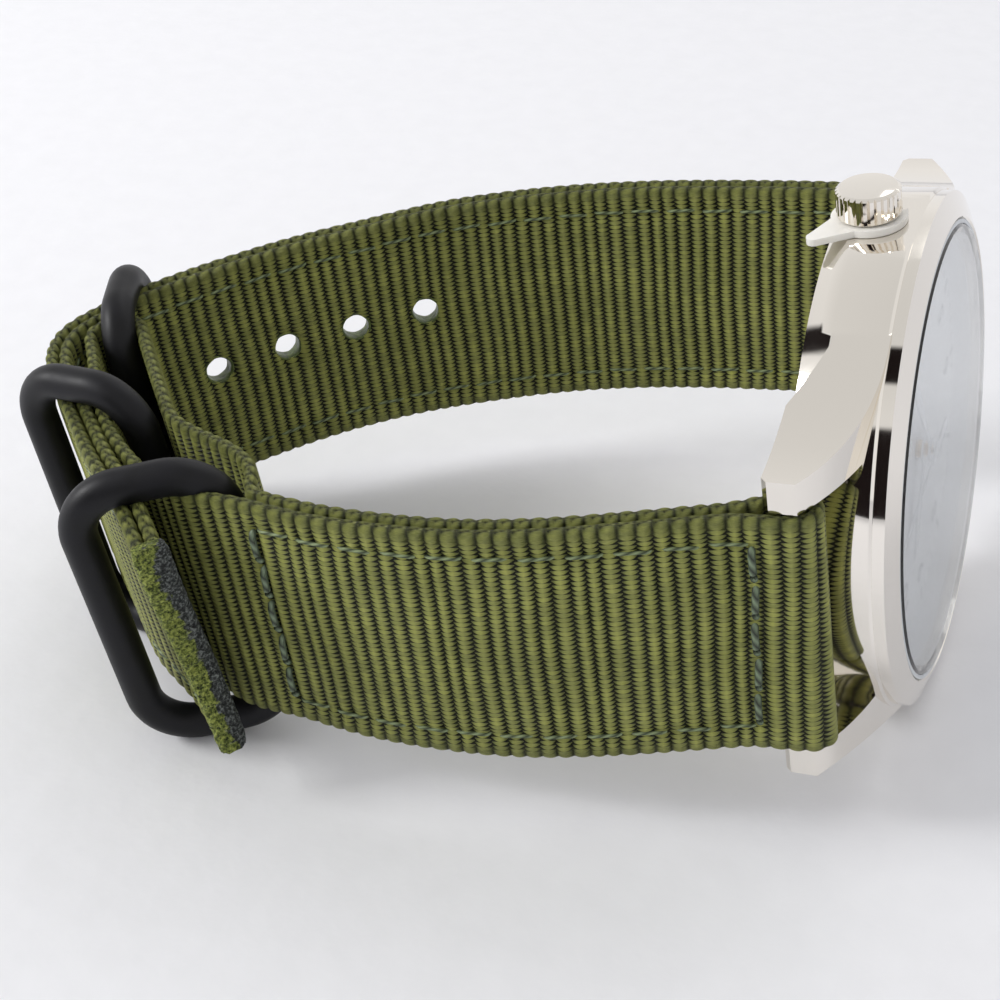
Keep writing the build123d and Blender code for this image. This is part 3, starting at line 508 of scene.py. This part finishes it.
over_fold = rod_radius + buckle_loop_gap + 2 * ply + 2 * seam_gap
middle_lap = (ply + 3 * seam_gap / 2) / math.sin(math.radians(middle_lean - middle_angle))
near_lap = (2 * ply - 2 * running_fit) / math.sin(math.radians(near_lean - near_angle))
lap_share = 0.435
lap_middle = beside(outer_ply, 3 * ply / 2 + seam_gap)[int(lap_share * (len(outer_ply) - 1))]
tip_share = (1.155, 0.660)
sewn_6 = smooth_line(
    [loop_point(share) for share in hole_side]
    + [step(fold_middle, tail_buckle_angle, 0, -over_fold),
       step(fold_middle, 0, 0, -over_fold),
       through_window(middle_bar, middle_lean, tail_middle_angle, (middle_start + middle_lap, ply)),
       lap_middle,
       through_window(near_bar, near_lean, tail_near_angle, (near_start + near_lap, ply)),
       loop_point(tip_share)]
)


def lug_fold(bar, sewn):
    """One ply from the sewn band out to the spring bar, round it and back."""
    start = sewn[0]
    away = math.degrees(math.atan2(bar[1] - start[1], bar[0] - start[0]))
    back = -directions(sewn)[0]
    side = left_of(back) * ply / 2
    left, right = step(bar, away, 0, bar_fold_radius), step(bar, away, 0, -bar_fold_radius)
    return (
        smooth_line([start + side, left], [back, heading(away)]),
        arc(np.asarray(bar), left, -180),
        smooth_line([right, start - side], [-heading(away), -back]),
    )


def band_rise(height):
    """How far the strap's middle stands towards the crown."""
    return strap_rise * (bar_height - height)


def eased(value, start, end):
    """From 0 at start to 1 at end, evenly eased."""
    share = np.clip((np.asarray(value, float) - start) / (end - start), 0, 1)
    return share * share * (3 - 2 * share)


# How the webbing hangs where nothing grips it: the middle of its free runs, how much wider it lies there,
# how far the near run sags and the far one stands up, how far the tail's lower corner turns in, and how
# much further its upper corner reaches
run_middle = -24
spread = 0.028
near_sag, far_rise = 0.45, 0.3
corner_turn = np.array((0.6, 2.4))
tail_reach = 2.8
tail_end, end_way = sewn_6[-1], directions(sewn_6)[-1]


def hang(points):
    """The free runs spread to their full width; the near one sags a little and the far one stands up a little."""
    across, depth_wise, height = points[..., 0] - band_rise(points[..., 2]), points[..., 1], points[..., 2]
    free = eased(height, -54, -44)
    near_run = eased(depth_wise, 14, 22) * np.exp(-(((height - run_middle) / 13) ** 2))
    far_run = eased(depth_wise, 2, -6) * np.exp(-(((height - run_middle) / 26) ** 4))
    moved = points.copy()
    moved[..., 0] += across * spread * free - near_sag * near_run + far_rise * far_run
    # The tail's lower corner turns in towards the strap
    tail = eased(depth_wise - 0.35 * height, 46.5, 54.5) * eased(depth_wise, 29, 33) * eased(across, 11, -11)
    # and its upper corner reaches further, as the cut is slanted
    from_end = points[..., 1:] - tail_end
    past_end, off_line = from_end @ end_way, np.abs(from_end @ left_of(end_way))
    slant = tail_reach * eased(past_end, -9, 0.5) * eased(off_line, 2.4, 1.5) * eased(across, -4, 11)
    moved[..., 1:] += tail[..., None] * corner_turn + slant[..., None] * end_way
    return moved


class Ribbon:
    """Webbing swept along a plan line: its exposed face is on the line's left."""

    def __init__(self, line, closed=False):
        self.closed = closed
        self.steps_per_rib = 10
        ribs_long = evenly(line, 1.0, closed)[1]
        ribs = round(ribs_long / rib_pitch)
        if closed and ribs % 2:
            ribs += 1
        self.pitch = ribs_long / ribs
        self.line, self.length = evenly(line, self.pitch / self.steps_per_rib, closed)
        self.spacing = self.length / (len(self.line) if closed else len(self.line) - 1)
        self.ahead = directions(self.line, closed)
        self.left = left_of(self.ahead)

    def place(self, along, across, out):
        """Places by distance along the line, distance towards the crown, and height off the middle."""
        along, across, out = np.broadcast_arrays(np.asarray(along, float), across, out)
        count = len(self.line)
        raw = along / self.spacing
        reached = raw % count if self.closed else np.clip(raw, 0, count - 1)
        slope = np.interp(reached, np.arange(count), self.ahead[:, 1])
        raw = (along + strap_rise * slope * across) / self.spacing
        first = np.floor(raw).astype(int)
        if not self.closed:
            first = np.clip(first, 0, count - 2)
        part = raw - first
        first, second = first % count, (first + 1) % count
        middle = self.line[first] + (self.line[second] - self.line[first]) * part[..., None]
        left = self.left[first] + (self.left[second] - self.left[first]) * part[..., None]
        plan = middle + left * out[..., None]
        return hang(np.stack((across + band_rise(middle[..., 1]), plan[..., 0], plan[..., 1]), axis=-1))


def near_to(ribbon, target):
    """Distance along a ribbon's line of the place nearest to a plan point."""
    return np.argmin(np.linalg.norm(ribbon.line - np.asarray(target), axis=1)) * ribbon.spacing


# The webbing's own form: its ribs and woven edge, and how far threads and hole rims pull its face in
web_thickness, rib_depth, edge_depth = 1.14, 0.28, 0.2
stitch_inset = 2.35
thread_sink, run_sink, sink_width = 0.2, 0.22, 0.45
rim_sink, rim_width, rim_reach = 0.42, 0.55, 0.11


def sweep_webbing(name, ribbon, body, replaced, holes=(), grooves=(), runs=()):
    """Ribbed webbing as a mesh: rounded edges, ribs as real waves, sunk where thread pulls it in. Holes are
    (along, across, half slot length), grooves are (across, from, to), and runs are places of cross stitching."""
    half = webbing_width / 2
    edge_round = web_thickness / 2
    flat = half - edge_round
    coarse = [-flat, -9.6, -9.0, -8.5, -8.1, -7.5, -6.5, -5.3, -4.0, -2.8]
    fine = np.arange(-1.7, 2.71, 0.2)
    upper = [3.6, 4.6, 5.6, 6.6, 7.5, 8.1, 8.5, 9.0, 9.6, flat]
    across = np.concatenate((coarse, fine, upper))
    # One loop round the section: exposed face, crown edge, hidden face, far edge
    bends = np.linspace(0, math.pi, 12)[1:-1]
    loop_across = np.concatenate((across, np.full(len(bends), flat), across[::-1], np.full(len(bends), -flat)))
    none = np.zeros(len(across))
    edge_out = np.concatenate((none, np.sin(bends), none, -np.sin(bends)))
    loop_height = np.concatenate((none + 1, np.cos(bends), none - 1, -np.cos(bends)))
    turn = np.concatenate((none, bends / math.pi, none, 1 - bends / math.pi))
    count = len(ribbon.line)
    along = np.arange(count) * ribbon.spacing
    share = TAU * along / ribbon.length
    # Hand-fed weaving: ribs a little uneven in width, depth and straightness
    uneven = 0.05 * np.sin(29 * share + 1) + 0.035 * np.sin(43 * share + 2)
    bowed = 0.06 * np.sin(loop_across[None, :] * 0.42 + 3 * share[:, None]) * np.cos(5 * share[:, None])
    phase = along[:, None] / ribbon.pitch + uneven[:, None] + bowed
    crest = np.abs(np.sin(math.pi * phase)) ** 0.62
    depth = rib_depth * (1 + 0.16 * np.sin(17 * share) + 0.1 * np.sin(37 * share + 1))[:, None]
    # The woven edge is a chain of long loops in two rows, half a rib apart
    edge_row = np.floor(np.minimum(2 * turn, 1.999))
    within_row = 2 * turn - edge_row
    loops = (np.abs(np.sin(math.pi * (phase + (0.5 * edge_row + 0.25 * within_row)[None, :]))) ** 0.55
             * np.sin(math.pi * within_row)[None, :] ** 0.45)
    at_edge = edge_out**2
    sink = depth * (1 - crest) * (1 - at_edge) + edge_depth * (1 - loops) * at_edge
    S = np.repeat(along[:, None], len(loop_across), axis=1)
    W = loop_across[None, :] + edge_out[None, :] * (edge_round - sink)
    H = loop_height[None, :] * (edge_round - sink)
    face_side = loop_height > 0.9
    for level, start, end in grooves:
        within = 1 / (1 + np.exp(-(S - start) / 0.4)) / (1 + np.exp((S - end) / 0.4))
        H -= face_side * thread_sink * np.exp(-((W - level) / sink_width) ** 2) * within
    for mid in runs:
        between_rows = np.abs(W) < half - stitch_inset + 0.4
        H -= face_side * run_sink * np.exp(-((S - mid) / sink_width) ** 2) * between_rows
    # Punched holes: the nearest points are drawn onto the rim, those inside are dropped
    drop = np.zeros(S.shape, bool)
    flat_sides = np.abs(loop_height) > 0.9
    for mid, level, slot in holes:
        away = np.maximum(np.abs(S - mid) - slot, 0) * np.sign(S - mid)
        side = W - level
        reach = np.hypot(away, side)
        near = flat_sides & (np.abs(reach - hole_radius) < rim_reach) & (reach > 1e-6)
        pull = np.where(near, hole_radius / np.maximum(reach, 1e-6), 1)
        S = np.where(near, mid + np.sign(S - mid) * np.minimum(np.abs(S - mid), slot) + away * pull, S)
        W = np.where(near, level + side * pull, W)
        drop |= flat_sides & (reach < hole_radius - rim_reach)
        off_rim = np.maximum(reach - hole_radius, 0)
        H -= face_side * np.sign(H) * rim_sink * np.exp(-(off_rim / rim_width) ** 2)
    points = ribbon.place(S, W, H)
    round_edge = edge_round * math.pi * (0.5 - np.abs(turn - 0.5)) * np.sign(loop_across)
    ribs_along = phase + (S - along[:, None]) / ribbon.pitch
    uv = np.stack((ribs_along, (W + (turn > 0) * round_edge) / yarn_pitch), axis=-1)
    columns = len(loop_across)
    dropped = drop.ravel()
    faces = [face for face in grid_faces(count, columns, ribbon.closed, True) if not any(dropped[v] for v in face)]
    made = piece(name, points.reshape(-1, 3), faces, webbing, body, uv.reshape(-1, 2))
    # The second share marks where the woven edge dips between its loops, for the painted shade there
    shares = {"selvedge": np.clip((np.abs(W) - (half - 0.9)) / 0.3, 0, 1),
              "loop_gap_shade": np.clip(1.25 * (1 - loops) * at_edge, 0, 1) ** 1.3}
    for title, values in shares.items():
        made.data.attributes.new(title, "FLOAT", "POINT").data.foreach_set("value", values.ravel())
    # Where a closed web meets its own start, the count of ribs goes on
    if ribbon.closed:
        layer = made.data.uv_layers["weave"].data
        last = count / ribbon.steps_per_rib
        for polygon in made.data.polygons:
            values = [layer[k].uv[0] for k in polygon.loop_indices]
            if max(values) - min(values) > last / 2:
                for k in polygon.loop_indices:
                    if layer[k].uv[0] < last / 2:
                        layer[k].uv[0] += last
    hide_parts(*replaced)


def tubes(name, lines, radius, material, body, sides=8, turns_per_mm=0.9, blunt=0.55):
    """Several round threads as one mesh, thinner at their ends, with a helical pattern in their UVs."""
    points, faces, uvs = [], [], []
    for line in lines:
        lengths = distances(line)
        first = len(points)
        for i, (spot, way) in enumerate(zip(line, directions(line))):
            side = np.cross(way, (1.0, 0.1, 0.05))
            if np.linalg.norm(side) < 0.2:
                side = np.cross(way, (0.0, 1.0, 0.3))
            side /= np.linalg.norm(side)
            other = np.cross(way, side)
            size = radius * (blunt if i in (0, len(line) - 1) else 1.0)
            for k in range(sides):
                turn = TAU * k / sides
                points.append(spot + size * (math.cos(turn) * side + math.sin(turn) * other))
                uvs.append((lengths[i] * turns_per_mm, k / sides * 2))
        faces += grid_faces(len(line), sides, False, True, first)
        faces += [tuple(range(first, first + sides)), tuple(reversed(range(len(points) - sides, len(points))))]
    made = piece(name, np.array(points), faces, material, body, uvs)


# Buckle side: one long web goes out over the keeper rings, round the buckle, back on the wrist side and
# round the spring bar
up_fold, round_bar, down_fold = lug_fold((bar_reach, bar_height), sewn_12)
buckle_web = Ribbon(joined(
    beside(sewn_12, ply / 2), outer_ply, arc(fold_middle, fold_out, -180), inner_ply,
    beside(sewn_12, -ply / 2)[::-1], up_fold, round_bar, down_fold[:-1],
), closed=True)
sewn_length = distances(beside(sewn_12, ply / 2))[-1]
inner_start = near_to(buckle_web, inner_ply[-1])
row = webbing_width / 2 - stitch_inset
# Stitched lengths: past the sewn band towards the spring bar, a little past it at the rings, short of the tip
bar_reach_out, ring_reach_out, tip_inset = 1.9, 0.4, 2.0
buckle_rows = ((-bar_reach_out, sewn_length + ring_reach_out),
               (inner_start - ring_reach_out, inner_start + sewn_length + bar_reach_out))
seen_again = ((buckle_web.length - bar_reach_out, buckle_web.length + 5),)
sweep_webbing("buckle_side_webbing", buckle_web, "case", ["buckle_strap"],
              grooves=[(level, *ends) for level in (-row, row) for ends in buckle_rows + seen_again],
              runs=(buckle_rows[0][1], buckle_rows[1][0], buckle_web.length - bar_reach_out, buckle_rows[1][1]))

# Hole side: one web from the tip down to the lugs and back, sewn to itself all the way
lug_end = lug_fold((-bar_reach, bar_height), sewn_6)
hole_web = Ribbon(joined(beside(sewn_6, -ply / 2)[::-1], *lug_end, beside(sewn_6, ply / 2)))
lug_station, lug_station_back = near_to(hole_web, lug_end[0][0]), near_to(hole_web, lug_end[2][-1])
middle_station = (lug_station + lug_station_back) / 2
hole_rows = ((tip_inset, lug_station + bar_reach_out),
             (lug_station_back - bar_reach_out, hole_web.length - tip_inset))

tail_line, tail_length = evenly(sewn_6[::-1], 0.05)
tang_lift_off = 2.35
tang_foot = step(buckle_bar, buckle_lean, 0, tang_lift_off)
tang_way = heading(buckle_lean)
under_buckle = 6.5


def on_both_plies(target):
    """The places along the hole side's web, one on each ply, that lie nearest to a plan point."""
    gaps = np.linalg.norm(hole_web.line - target, axis=1)
    middle = int(middle_station / hole_web.spacing)
    return np.argmin(gaps[:middle]) * hole_web.spacing, (middle + np.argmin(gaps[middle:])) * hole_web.spacing


punched, rims = [], []
for number in range(hole_count):
    from_tip = first_hole + number * hole_pitch
    spot = tail_line[int(round(from_tip / tail_length * (len(tail_line) - 1)))]
    if np.linalg.norm(spot - fold_middle) < under_buckle:
        continue
    for station in on_both_plies(spot):
        punched.append((station, hole_row_rise, 0.0))
    rims.append(spot)
# The hole in use is drawn long by the tang
relative = hole_web.line - tang_foot
along_tang, off_tang = relative @ tang_way, np.abs(relative @ left_of(tang_way))
crossed = off_tang < tang_radius + tang_slot_gap + ply / 2
crossed &= (along_tang > 0) & (along_tang < 2 * ring_half_height - rod_radius)
stations = np.flatnonzero(crossed) * hole_web.spacing
for side in (stations[stations < middle_station], stations[stations > middle_station]):
    if len(side):
        half_length = (side.max() - side.min()) / 2
        punched.append((side.min() + half_length, 0.0, max(half_length - hole_radius, 0.0)))

sweep_webbing("hole_side_webbing", hole_web, "case", ["hole_strap"], holes=punched,
              grooves=[(level, *ends) for level in (-row, row) for ends in hole_rows])


def stitch(web, start, end, level_start, level_end, height, dip=0.55, count=11):
    """One stitch: it lies on the web and dives in at both ends."""
    share = np.linspace(0, 1, count)
    sink = dip * (np.exp(-(share / 0.09) ** 2) + np.exp(-((1 - share) / 0.09) ** 2))
    crown = web_thickness / 2 - 0.1 + height * np.sin(math.pi * share) ** 0.5 - sink
    return web.place(start + (end - start) * share, level_start + (level_end - level_start) * share, crown)


def row_of_stitches(web, start, end, level, length=3.1, gap=0.35, height=-0.1):
    """Stitches along an edge, each a little askew, half sunk in the webbing."""
    number = max(int(round((end - start) / (length + gap))), 1)
    pace = (end - start) / number
    return [stitch(web, start + k * pace + gap / 2, start + (k + 1) * pace - gap / 2,
                   level + 0.1 * math.sin(5.3 * k), level + 0.1 * math.sin(5.3 * k + 2), height)
            for k in range(number)]


def stitches_across(web, along, length=2.9, gap=0.3, height=0.16):
    """Heavy stitches from edge to edge, proud of the webbing."""
    number = int(round(2 * row / (length + gap)))
    pace = 2 * row / number
    return [stitch(web, along + 0.12 * math.sin(3.1 * k), along + 0.12 * math.sin(3.1 * k + 2),
                   -row + k * pace + gap / 2, -row + (k + 1) * pace - gap / 2, height) for k in range(number)]


edge_stitches, cross_stitches = [], []
for level in (-row, row):
    for web, rows in ((buckle_web, buckle_rows), (hole_web, hole_rows)):
        for start, end in rows:
            edge_stitches += row_of_stitches(web, start, end, level)
for web, places in ((buckle_web, buckle_rows[0] + buckle_rows[1]), (hole_web, (hole_rows[0][1], hole_rows[1][0]))):
    for along in places:
        cross_stitches += stitches_across(web, along)
edge_thread_radius, cross_thread_radius = 0.16, 0.29
tubes("edge_stitching", edge_stitches, edge_thread_radius, thread, "case")
tubes("cross_stitching", cross_stitches, cross_thread_radius, heavy_thread, "case")

# Rims of the punched holes, sealed by the hot punch
profile = [(1.5, 0.66), (1.42, 0.76), (1.32, 0.76), (1.26, 0.66), (1.24, 0.35), (1.23, 0.0),
           (1.24, -0.35), (1.26, -0.66), (1.32, -0.76), (1.42, -0.76), (1.5, -0.66)]
rim_points, rim_faces = [], []
for spot in rims:
    index = int(np.argmin(np.linalg.norm(tail_line - spot, axis=1)))
    way = directions(tail_line)[index]
    first, around = len(rim_points), 40
    for radius, lift in profile:
        for k in range(around):
            turn = TAU * k / around
            wavy = radius + 0.02 * math.sin(3 * turn + index) + 0.015 * math.sin(7 * turn)
            plan = spot + way * wavy * math.cos(turn) + left_of(way) * lift
            rise = band_rise(plan[1]) + hole_row_rise + wavy * math.sin(turn)
            rim_points.append(hang(np.array((rise, *plan))))
    rim_faces += grid_faces(len(profile), around, False, True, first)
hole_rims = piece("punched_hole_rims", np.array(rim_points), rim_faces, sealed_rim, "case")

# The tip: both plies cut with a hot knife and melted together
cap_points, burnt = [], []
across_steps, cap_sides = 150, 26
cap_reach, cap_half_height = 0.5, 1.18
for i in range(across_steps):
    share = i / (across_steps - 1)
    across = -webbing_width / 2 + share * webbing_width
    end_taper = min(1.0, 4 * min(share, 1 - share) + 0.88)
    lump = 0.08 * math.sin(57 * share) + 0.06 * math.sin(131 * share + 1)
    for k in range(cap_sides):
        turn = TAU * k / cap_sides
        tuft = 0.07 * math.sin(7 * turn + 211 * share) * math.sin(311 * share + 3 * turn)
        reach = (cap_reach + lump + 2 * tuft) * math.cos(turn)
        flare = 1.3 if math.sin(turn) > 0 else 1.05
        lift = (cap_half_height * flare * end_taper + tuft) * np.sign(math.sin(turn)) * abs(math.sin(turn)) ** 0.5
        plan = tail_end + end_way * (reach - 0.2 + strap_rise * end_way[1] * across) + left_of(end_way) * lift
        cap_points.append(hang(np.array((across + band_rise(tail_end[1]), *plan))))
        charred = 0.5 + 0.9 * (lift - 0.25 + 0.25 * math.sin(9 * share)) - 6 * max(share - 0.9, 0)
        burnt.append(float(np.clip(charred, 0, 1)))
cap_faces = grid_faces(across_steps, cap_sides, False, True)
cap_faces += [tuple(range(cap_sides)), tuple(reversed(range(len(cap_points) - cap_sides, len(cap_points))))]
tip_cap = piece("heat_sealed_tip", np.array(cap_points), cap_faces, cut_end, "case")
tip_cap.data.attributes.new("burnt", "FLOAT", "POINT").data.foreach_set("value", burnt)

# Rings: one round rod each, bent and welded, at the size of the photograph and standing on the table
rod_half_length, rod_half_height, rod_corner = 12.8, 5.85, 4.2
case_radius, lowest_edge = 21.3, 2.0
table_drop = case_radius * math.hypot(lie[0], lie[1]) + lowest_edge * lie[2]


def bent_ring(name, node, bar, lean, body, slope=0.0, tilt=0.0, sides=28):
    """A ring with its inner bar in place: tilt leans its crown end towards the outer face of the strap."""
    out = np.array((0.0, *heading(lean)))
    along = np.array((1.0, 0.0, -slope)) + math.tan(math.radians(tilt)) * np.cross((1.0, 0.0, 0.0), out)
    along -= out * along.dot(out)
    along /= np.linalg.norm(along)
    middle = step(bar, lean, rod_half_height)
    along_lie, out_lie = abs(along.dot(lie)), abs(out.dot(lie))
    reach = (along_lie * (rod_half_length - rod_corner) + out_lie * (rod_half_height - rod_corner)
             + rod_corner * math.hypot(along_lie, out_lie) + rod_radius)
    rise = (reach - table_drop - np.array((0.0, *middle)).dot(lie)) / lie[0]
    centre = np.array((rise, *middle))
    route = []
    for across, height, start in ((1, 1, 0), (-1, 1, 90), (-1, -1, 180), (1, -1, 270)):
        for turn in np.radians(np.linspace(start, start + 90, 17)):
            route.append(centre + along * (across * (rod_half_length - rod_corner) + rod_corner * math.cos(turn))
                         + out * (height * (rod_half_height - rod_corner) + rod_corner * math.sin(turn)))
    normal = np.cross(along, out)
    radial = np.cross(directions(np.array(route), closed=True), normal)
    turns = np.linspace(0, TAU, sides, endpoint=False)[None, :, None]
    around = np.cos(turns) * radial[:, None, :] + np.sin(turns) * normal
    points = np.array(route)[:, None, :] + rod_radius * around
    made = piece(name, points.reshape(-1, 3), grid_faces(len(route), sides, True, True), black_rod, body)
    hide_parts(node)


bent_ring("near_keeper_rod", "keeper_ring_near", near_bar, near_lean, "near_keeper", slope=strap_rise, tilt=5.0)
bent_ring("middle_keeper_rod", "keeper_ring_middle", middle_bar, middle_lean, "middle_keeper", slope=strap_rise)
bent_ring("buckle_rod", "buckle_ring", buckle_bar, buckle_lean, "buckle")

# Metal, glass and plastic pieces keep their solids and get their finish; facets meet smoothly, up to a crease
finishes = {
    steel: ["mid_case", "bezel", "crown", "case_back"],
    inner_steel: ["winding_stem", "setting_lever", "crown_tube", "spring_bar_12", "spring_bar_6", "cell",
                  "second_pin", "bar_tip_12_crown", "bar_tip_12_far", "bar_tip_6_crown", "bar_tip_6_far"],
    hands_steel: ["hour_hand", "minute_hand", "second_hand"],
    brass: ["hour_pipe", "minute_pipe"],
    nickel: ["movement"],
    holder_plastic: ["movement_holder"],
    milky_plastic: ["crown_stopper"],
    rubber: ["case_back_gasket", "crown_gasket"],
    gasket_plastic: ["crystal_gasket"],
    glass: ["crystal"],
    dial_silver: ["dial"],
    dial_ring_silver: ["dial_ring"],
    black_rod: ["buckle_tang"],
}
crown_crease, crease = 12, 24
for material, names in finishes.items():
    for name in names:
        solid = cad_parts[name]
        solid.data.materials.clear()
        solid.data.materials.append(material)
        solid.data.polygons.foreach_set("use_smooth", [True] * len(solid.data.polygons))
        weld = solid.modifiers.new("Joined facets", "WELD")
        weld.merge_threshold = 0.001 * MM
        crisp = solid.modifiers.new("Crisp edges", "EDGE_SPLIT")
        crisp.split_angle = math.radians(crown_crease if name == "crown" else crease)

# Printed on the dial: plain numbers and a minute track
dial_top = -0.1
print_foot, print_thickness = 0.005, 0.03
track_radius = 16.1
numeral_radius, numeral_size, numeral_swell = 12.8, 3.3, 0.03
hour_mark, minute_mark = (0.22, 1.3), (0.07, 0.7)
print_points, print_faces = [], []


def printed(outline_points, outline_faces):
    """Adds one closed printed shape."""
    first = len(print_points)
    print_points.extend(outline_points)
    print_faces.extend(tuple(first + v for v in face) for face in outline_faces)


for minute in range(60):
    turn = math.radians(6 * minute)
    out_way, side_way = np.array((math.sin(turn), math.cos(turn))), np.array((math.cos(turn), -math.sin(turn)))
    half_wide, long = minute_mark if minute % 5 else hour_mark
    corners = [out_way * (track_radius - inward) + side_way * side for inward, side in
               ((long, -half_wide), (long, half_wide), (0, half_wide), (0, -half_wide))]
    printed([(*corner, dial_top + lift) for lift in (print_foot, print_thickness) for corner in corners],
            [(3, 2, 1, 0), (4, 5, 6, 7), (0, 1, 5, 4), (1, 2, 6, 5), (2, 3, 7, 6), (3, 0, 4, 7)])
for hour in range(1, 13):
    lettering = bpy.data.curves.new("Hour", "FONT")
    lettering.body = str(hour)
    lettering.size = numeral_size
    lettering.align_x, lettering.align_y = "CENTER", "CENTER"
    lettering.offset = numeral_swell
    lettering.extrude = print_thickness / 2
    writer = bpy.data.objects.new("Hour", lettering)
    shape = writer.to_mesh()
    turn = math.radians(30 * hour)
    centre = Vector((numeral_radius * math.sin(turn), numeral_radius * math.cos(turn),
                     dial_top + print_foot + print_thickness / 2))
    printed([tuple(v.co + centre) for v in shape.vertices],
            [tuple(face.vertices) for face in shape.polygons])
    writer.to_mesh_clear()
    bpy.data.objects.remove(writer)
    bpy.data.curves.remove(lettering)
numbers = piece("dial_numbers", np.array(print_points), print_faces, numeral_grey, "case", smooth=False)

# The camera, fitted to the photograph
camera_place = (0.04937, -0.11479, 0.0999)
camera_data = bpy.data.cameras.new("Camera")
camera_data.lens = 61.2
camera_data.sensor_width = 36
camera_data.clip_start = 0.005
camera_data.clip_end = 20
camera = bpy.data.objects.new("Camera", camera_data)
bpy.context.scene.collection.objects.link(camera)
ahead = Vector((-0.3202, 0.7511, -0.5773)).normalized()
right = Vector((0.9258, 0.3773, -0.0227))
right = (right - ahead * right.dot(ahead)).normalized()
above = right.cross(ahead)
turned = Matrix((right, above, -ahead)).transposed().to_4x4()
camera.matrix_world = Matrix.Translation(camera_place) @ turned
bpy.context.scene.camera = camera

# Floor: matt white paper
floor_reach = 3
floor_mesh = bpy.data.meshes.new("Floor")
floor_mesh.from_pydata([(x * floor_reach, y * floor_reach, 0) for x, y in ((-1, -1), (1, -1), (1, 1), (-1, 1))],
                       [], [(0, 1, 2, 3)])
floor = bpy.data.objects.new("Floor", floor_mesh)
bpy.context.scene.collection.objects.link(floor)
node = begin("Matt white paper")
tooth = mottle(node, 3.85, 3.0)
floor_mesh.materials.append(finish(
    node, Roughness=0.85, Normal=node("Bump", {"Height": tooth, "Strength": 0.1, "Distance": 1 * MM}),
    Base_Color=node("Mix", {0: tooth, 6: srgb("#EAEAEC"), 7: srgb("#F0F0F2")}, 2, data_type="RGBA")))

# Polished metal mirrors a pale dome, and dark cards beside the camera: which way each lies, and the
# angles in degrees where it ends and where it has faded out
dark_cards = (((-0.24, -0.93, 0.27), 20, 22), ((-0.29, -0.39, 0.87), 7, 9),
              ((-0.87, 0.04, 0.50), 4, 6), ((0.35, -0.93, 0.02), 12, 15))
world = bpy.data.worlds.new("Soft studio")
bpy.context.scene.world = world
world.use_nodes = True
node = partial(add, world)
toward_sky = node("TexCoord", output="Generated")
upright = node("MapRange", (node("SeparateXYZ", (toward_sky,), 2), -0.1, 1.0))
dome = node("ValToRGB", (upright,), stops=((0.0, "#F2F2F4"), (0.35, "#F4F3F3"), (0.8, "#DEDDDC"), (1.0, "#D8D7D6")))
cards = 0.0
for way, inner, outer in dark_cards:
    facing = node("VectorMath", (toward_sky, Vector(way).normalized()), "Value", operation="DOT_PRODUCT")
    card = node("MapRange", (facing, math.cos(math.radians(outer)), math.cos(math.radians(inner))))
    cards = node("Math", (cards, card), operation="MAXIMUM")
shown = node("Mix", {0: cards, 6: dome, 7: srgb("#1A1414")}, 2, data_type="RGBA")
in_camera, in_mirror, in_glass = (node("LightPath", output=f"Is {ray} Ray") for ray in
                                  ("Camera", "Glossy", "Transmission"))
shown = node("Mix", {0: in_mirror, 6: srgb("#F3F3F6"), 7: shown}, 2, data_type="RGBA")
shown = node("Mix", {0: in_camera, 6: shown, 7: srgb("#F6F6F8")}, 2, data_type="RGBA")
# The backdrop is white where it is seen, and lights the object at a plainer level
seen = node("Math", (node("Math", (in_camera, in_mirror), operation="MAXIMUM"), in_glass), operation="MAXIMUM")
finish(node, "Background", Color=shown, Strength=node("Math", (seen, 0.24, 0.76), operation="MULTIPLY_ADD"))

# Lamps: place, what they shine on, size and watts
soft_boxes = {"Key light": ((-0.64, -0.26, 0.42), (0, -0.02, 0.02), (0.25, 0.25), 3.9),
              "Back light": ((0.1, 0.7, 0.8), (0, 0.02, 0.0), (0.7, 0.5), 1.3)}
for name, (place, aim, size, power) in soft_boxes.items():
    lamp = bpy.data.lights.new(name, "AREA")
    lamp.shape = "RECTANGLE"
    lamp.size, lamp.size_y = size
    lamp.energy = power
    box = bpy.data.objects.new(name, lamp)
    box.location = place
    box.rotation_euler = (Vector(aim) - Vector(place)).to_track_quat("-Z", "Y").to_euler()
    bpy.context.scene.collection.objects.link(box)

bpy.context.scene.view_settings.view_transform = "Standard"
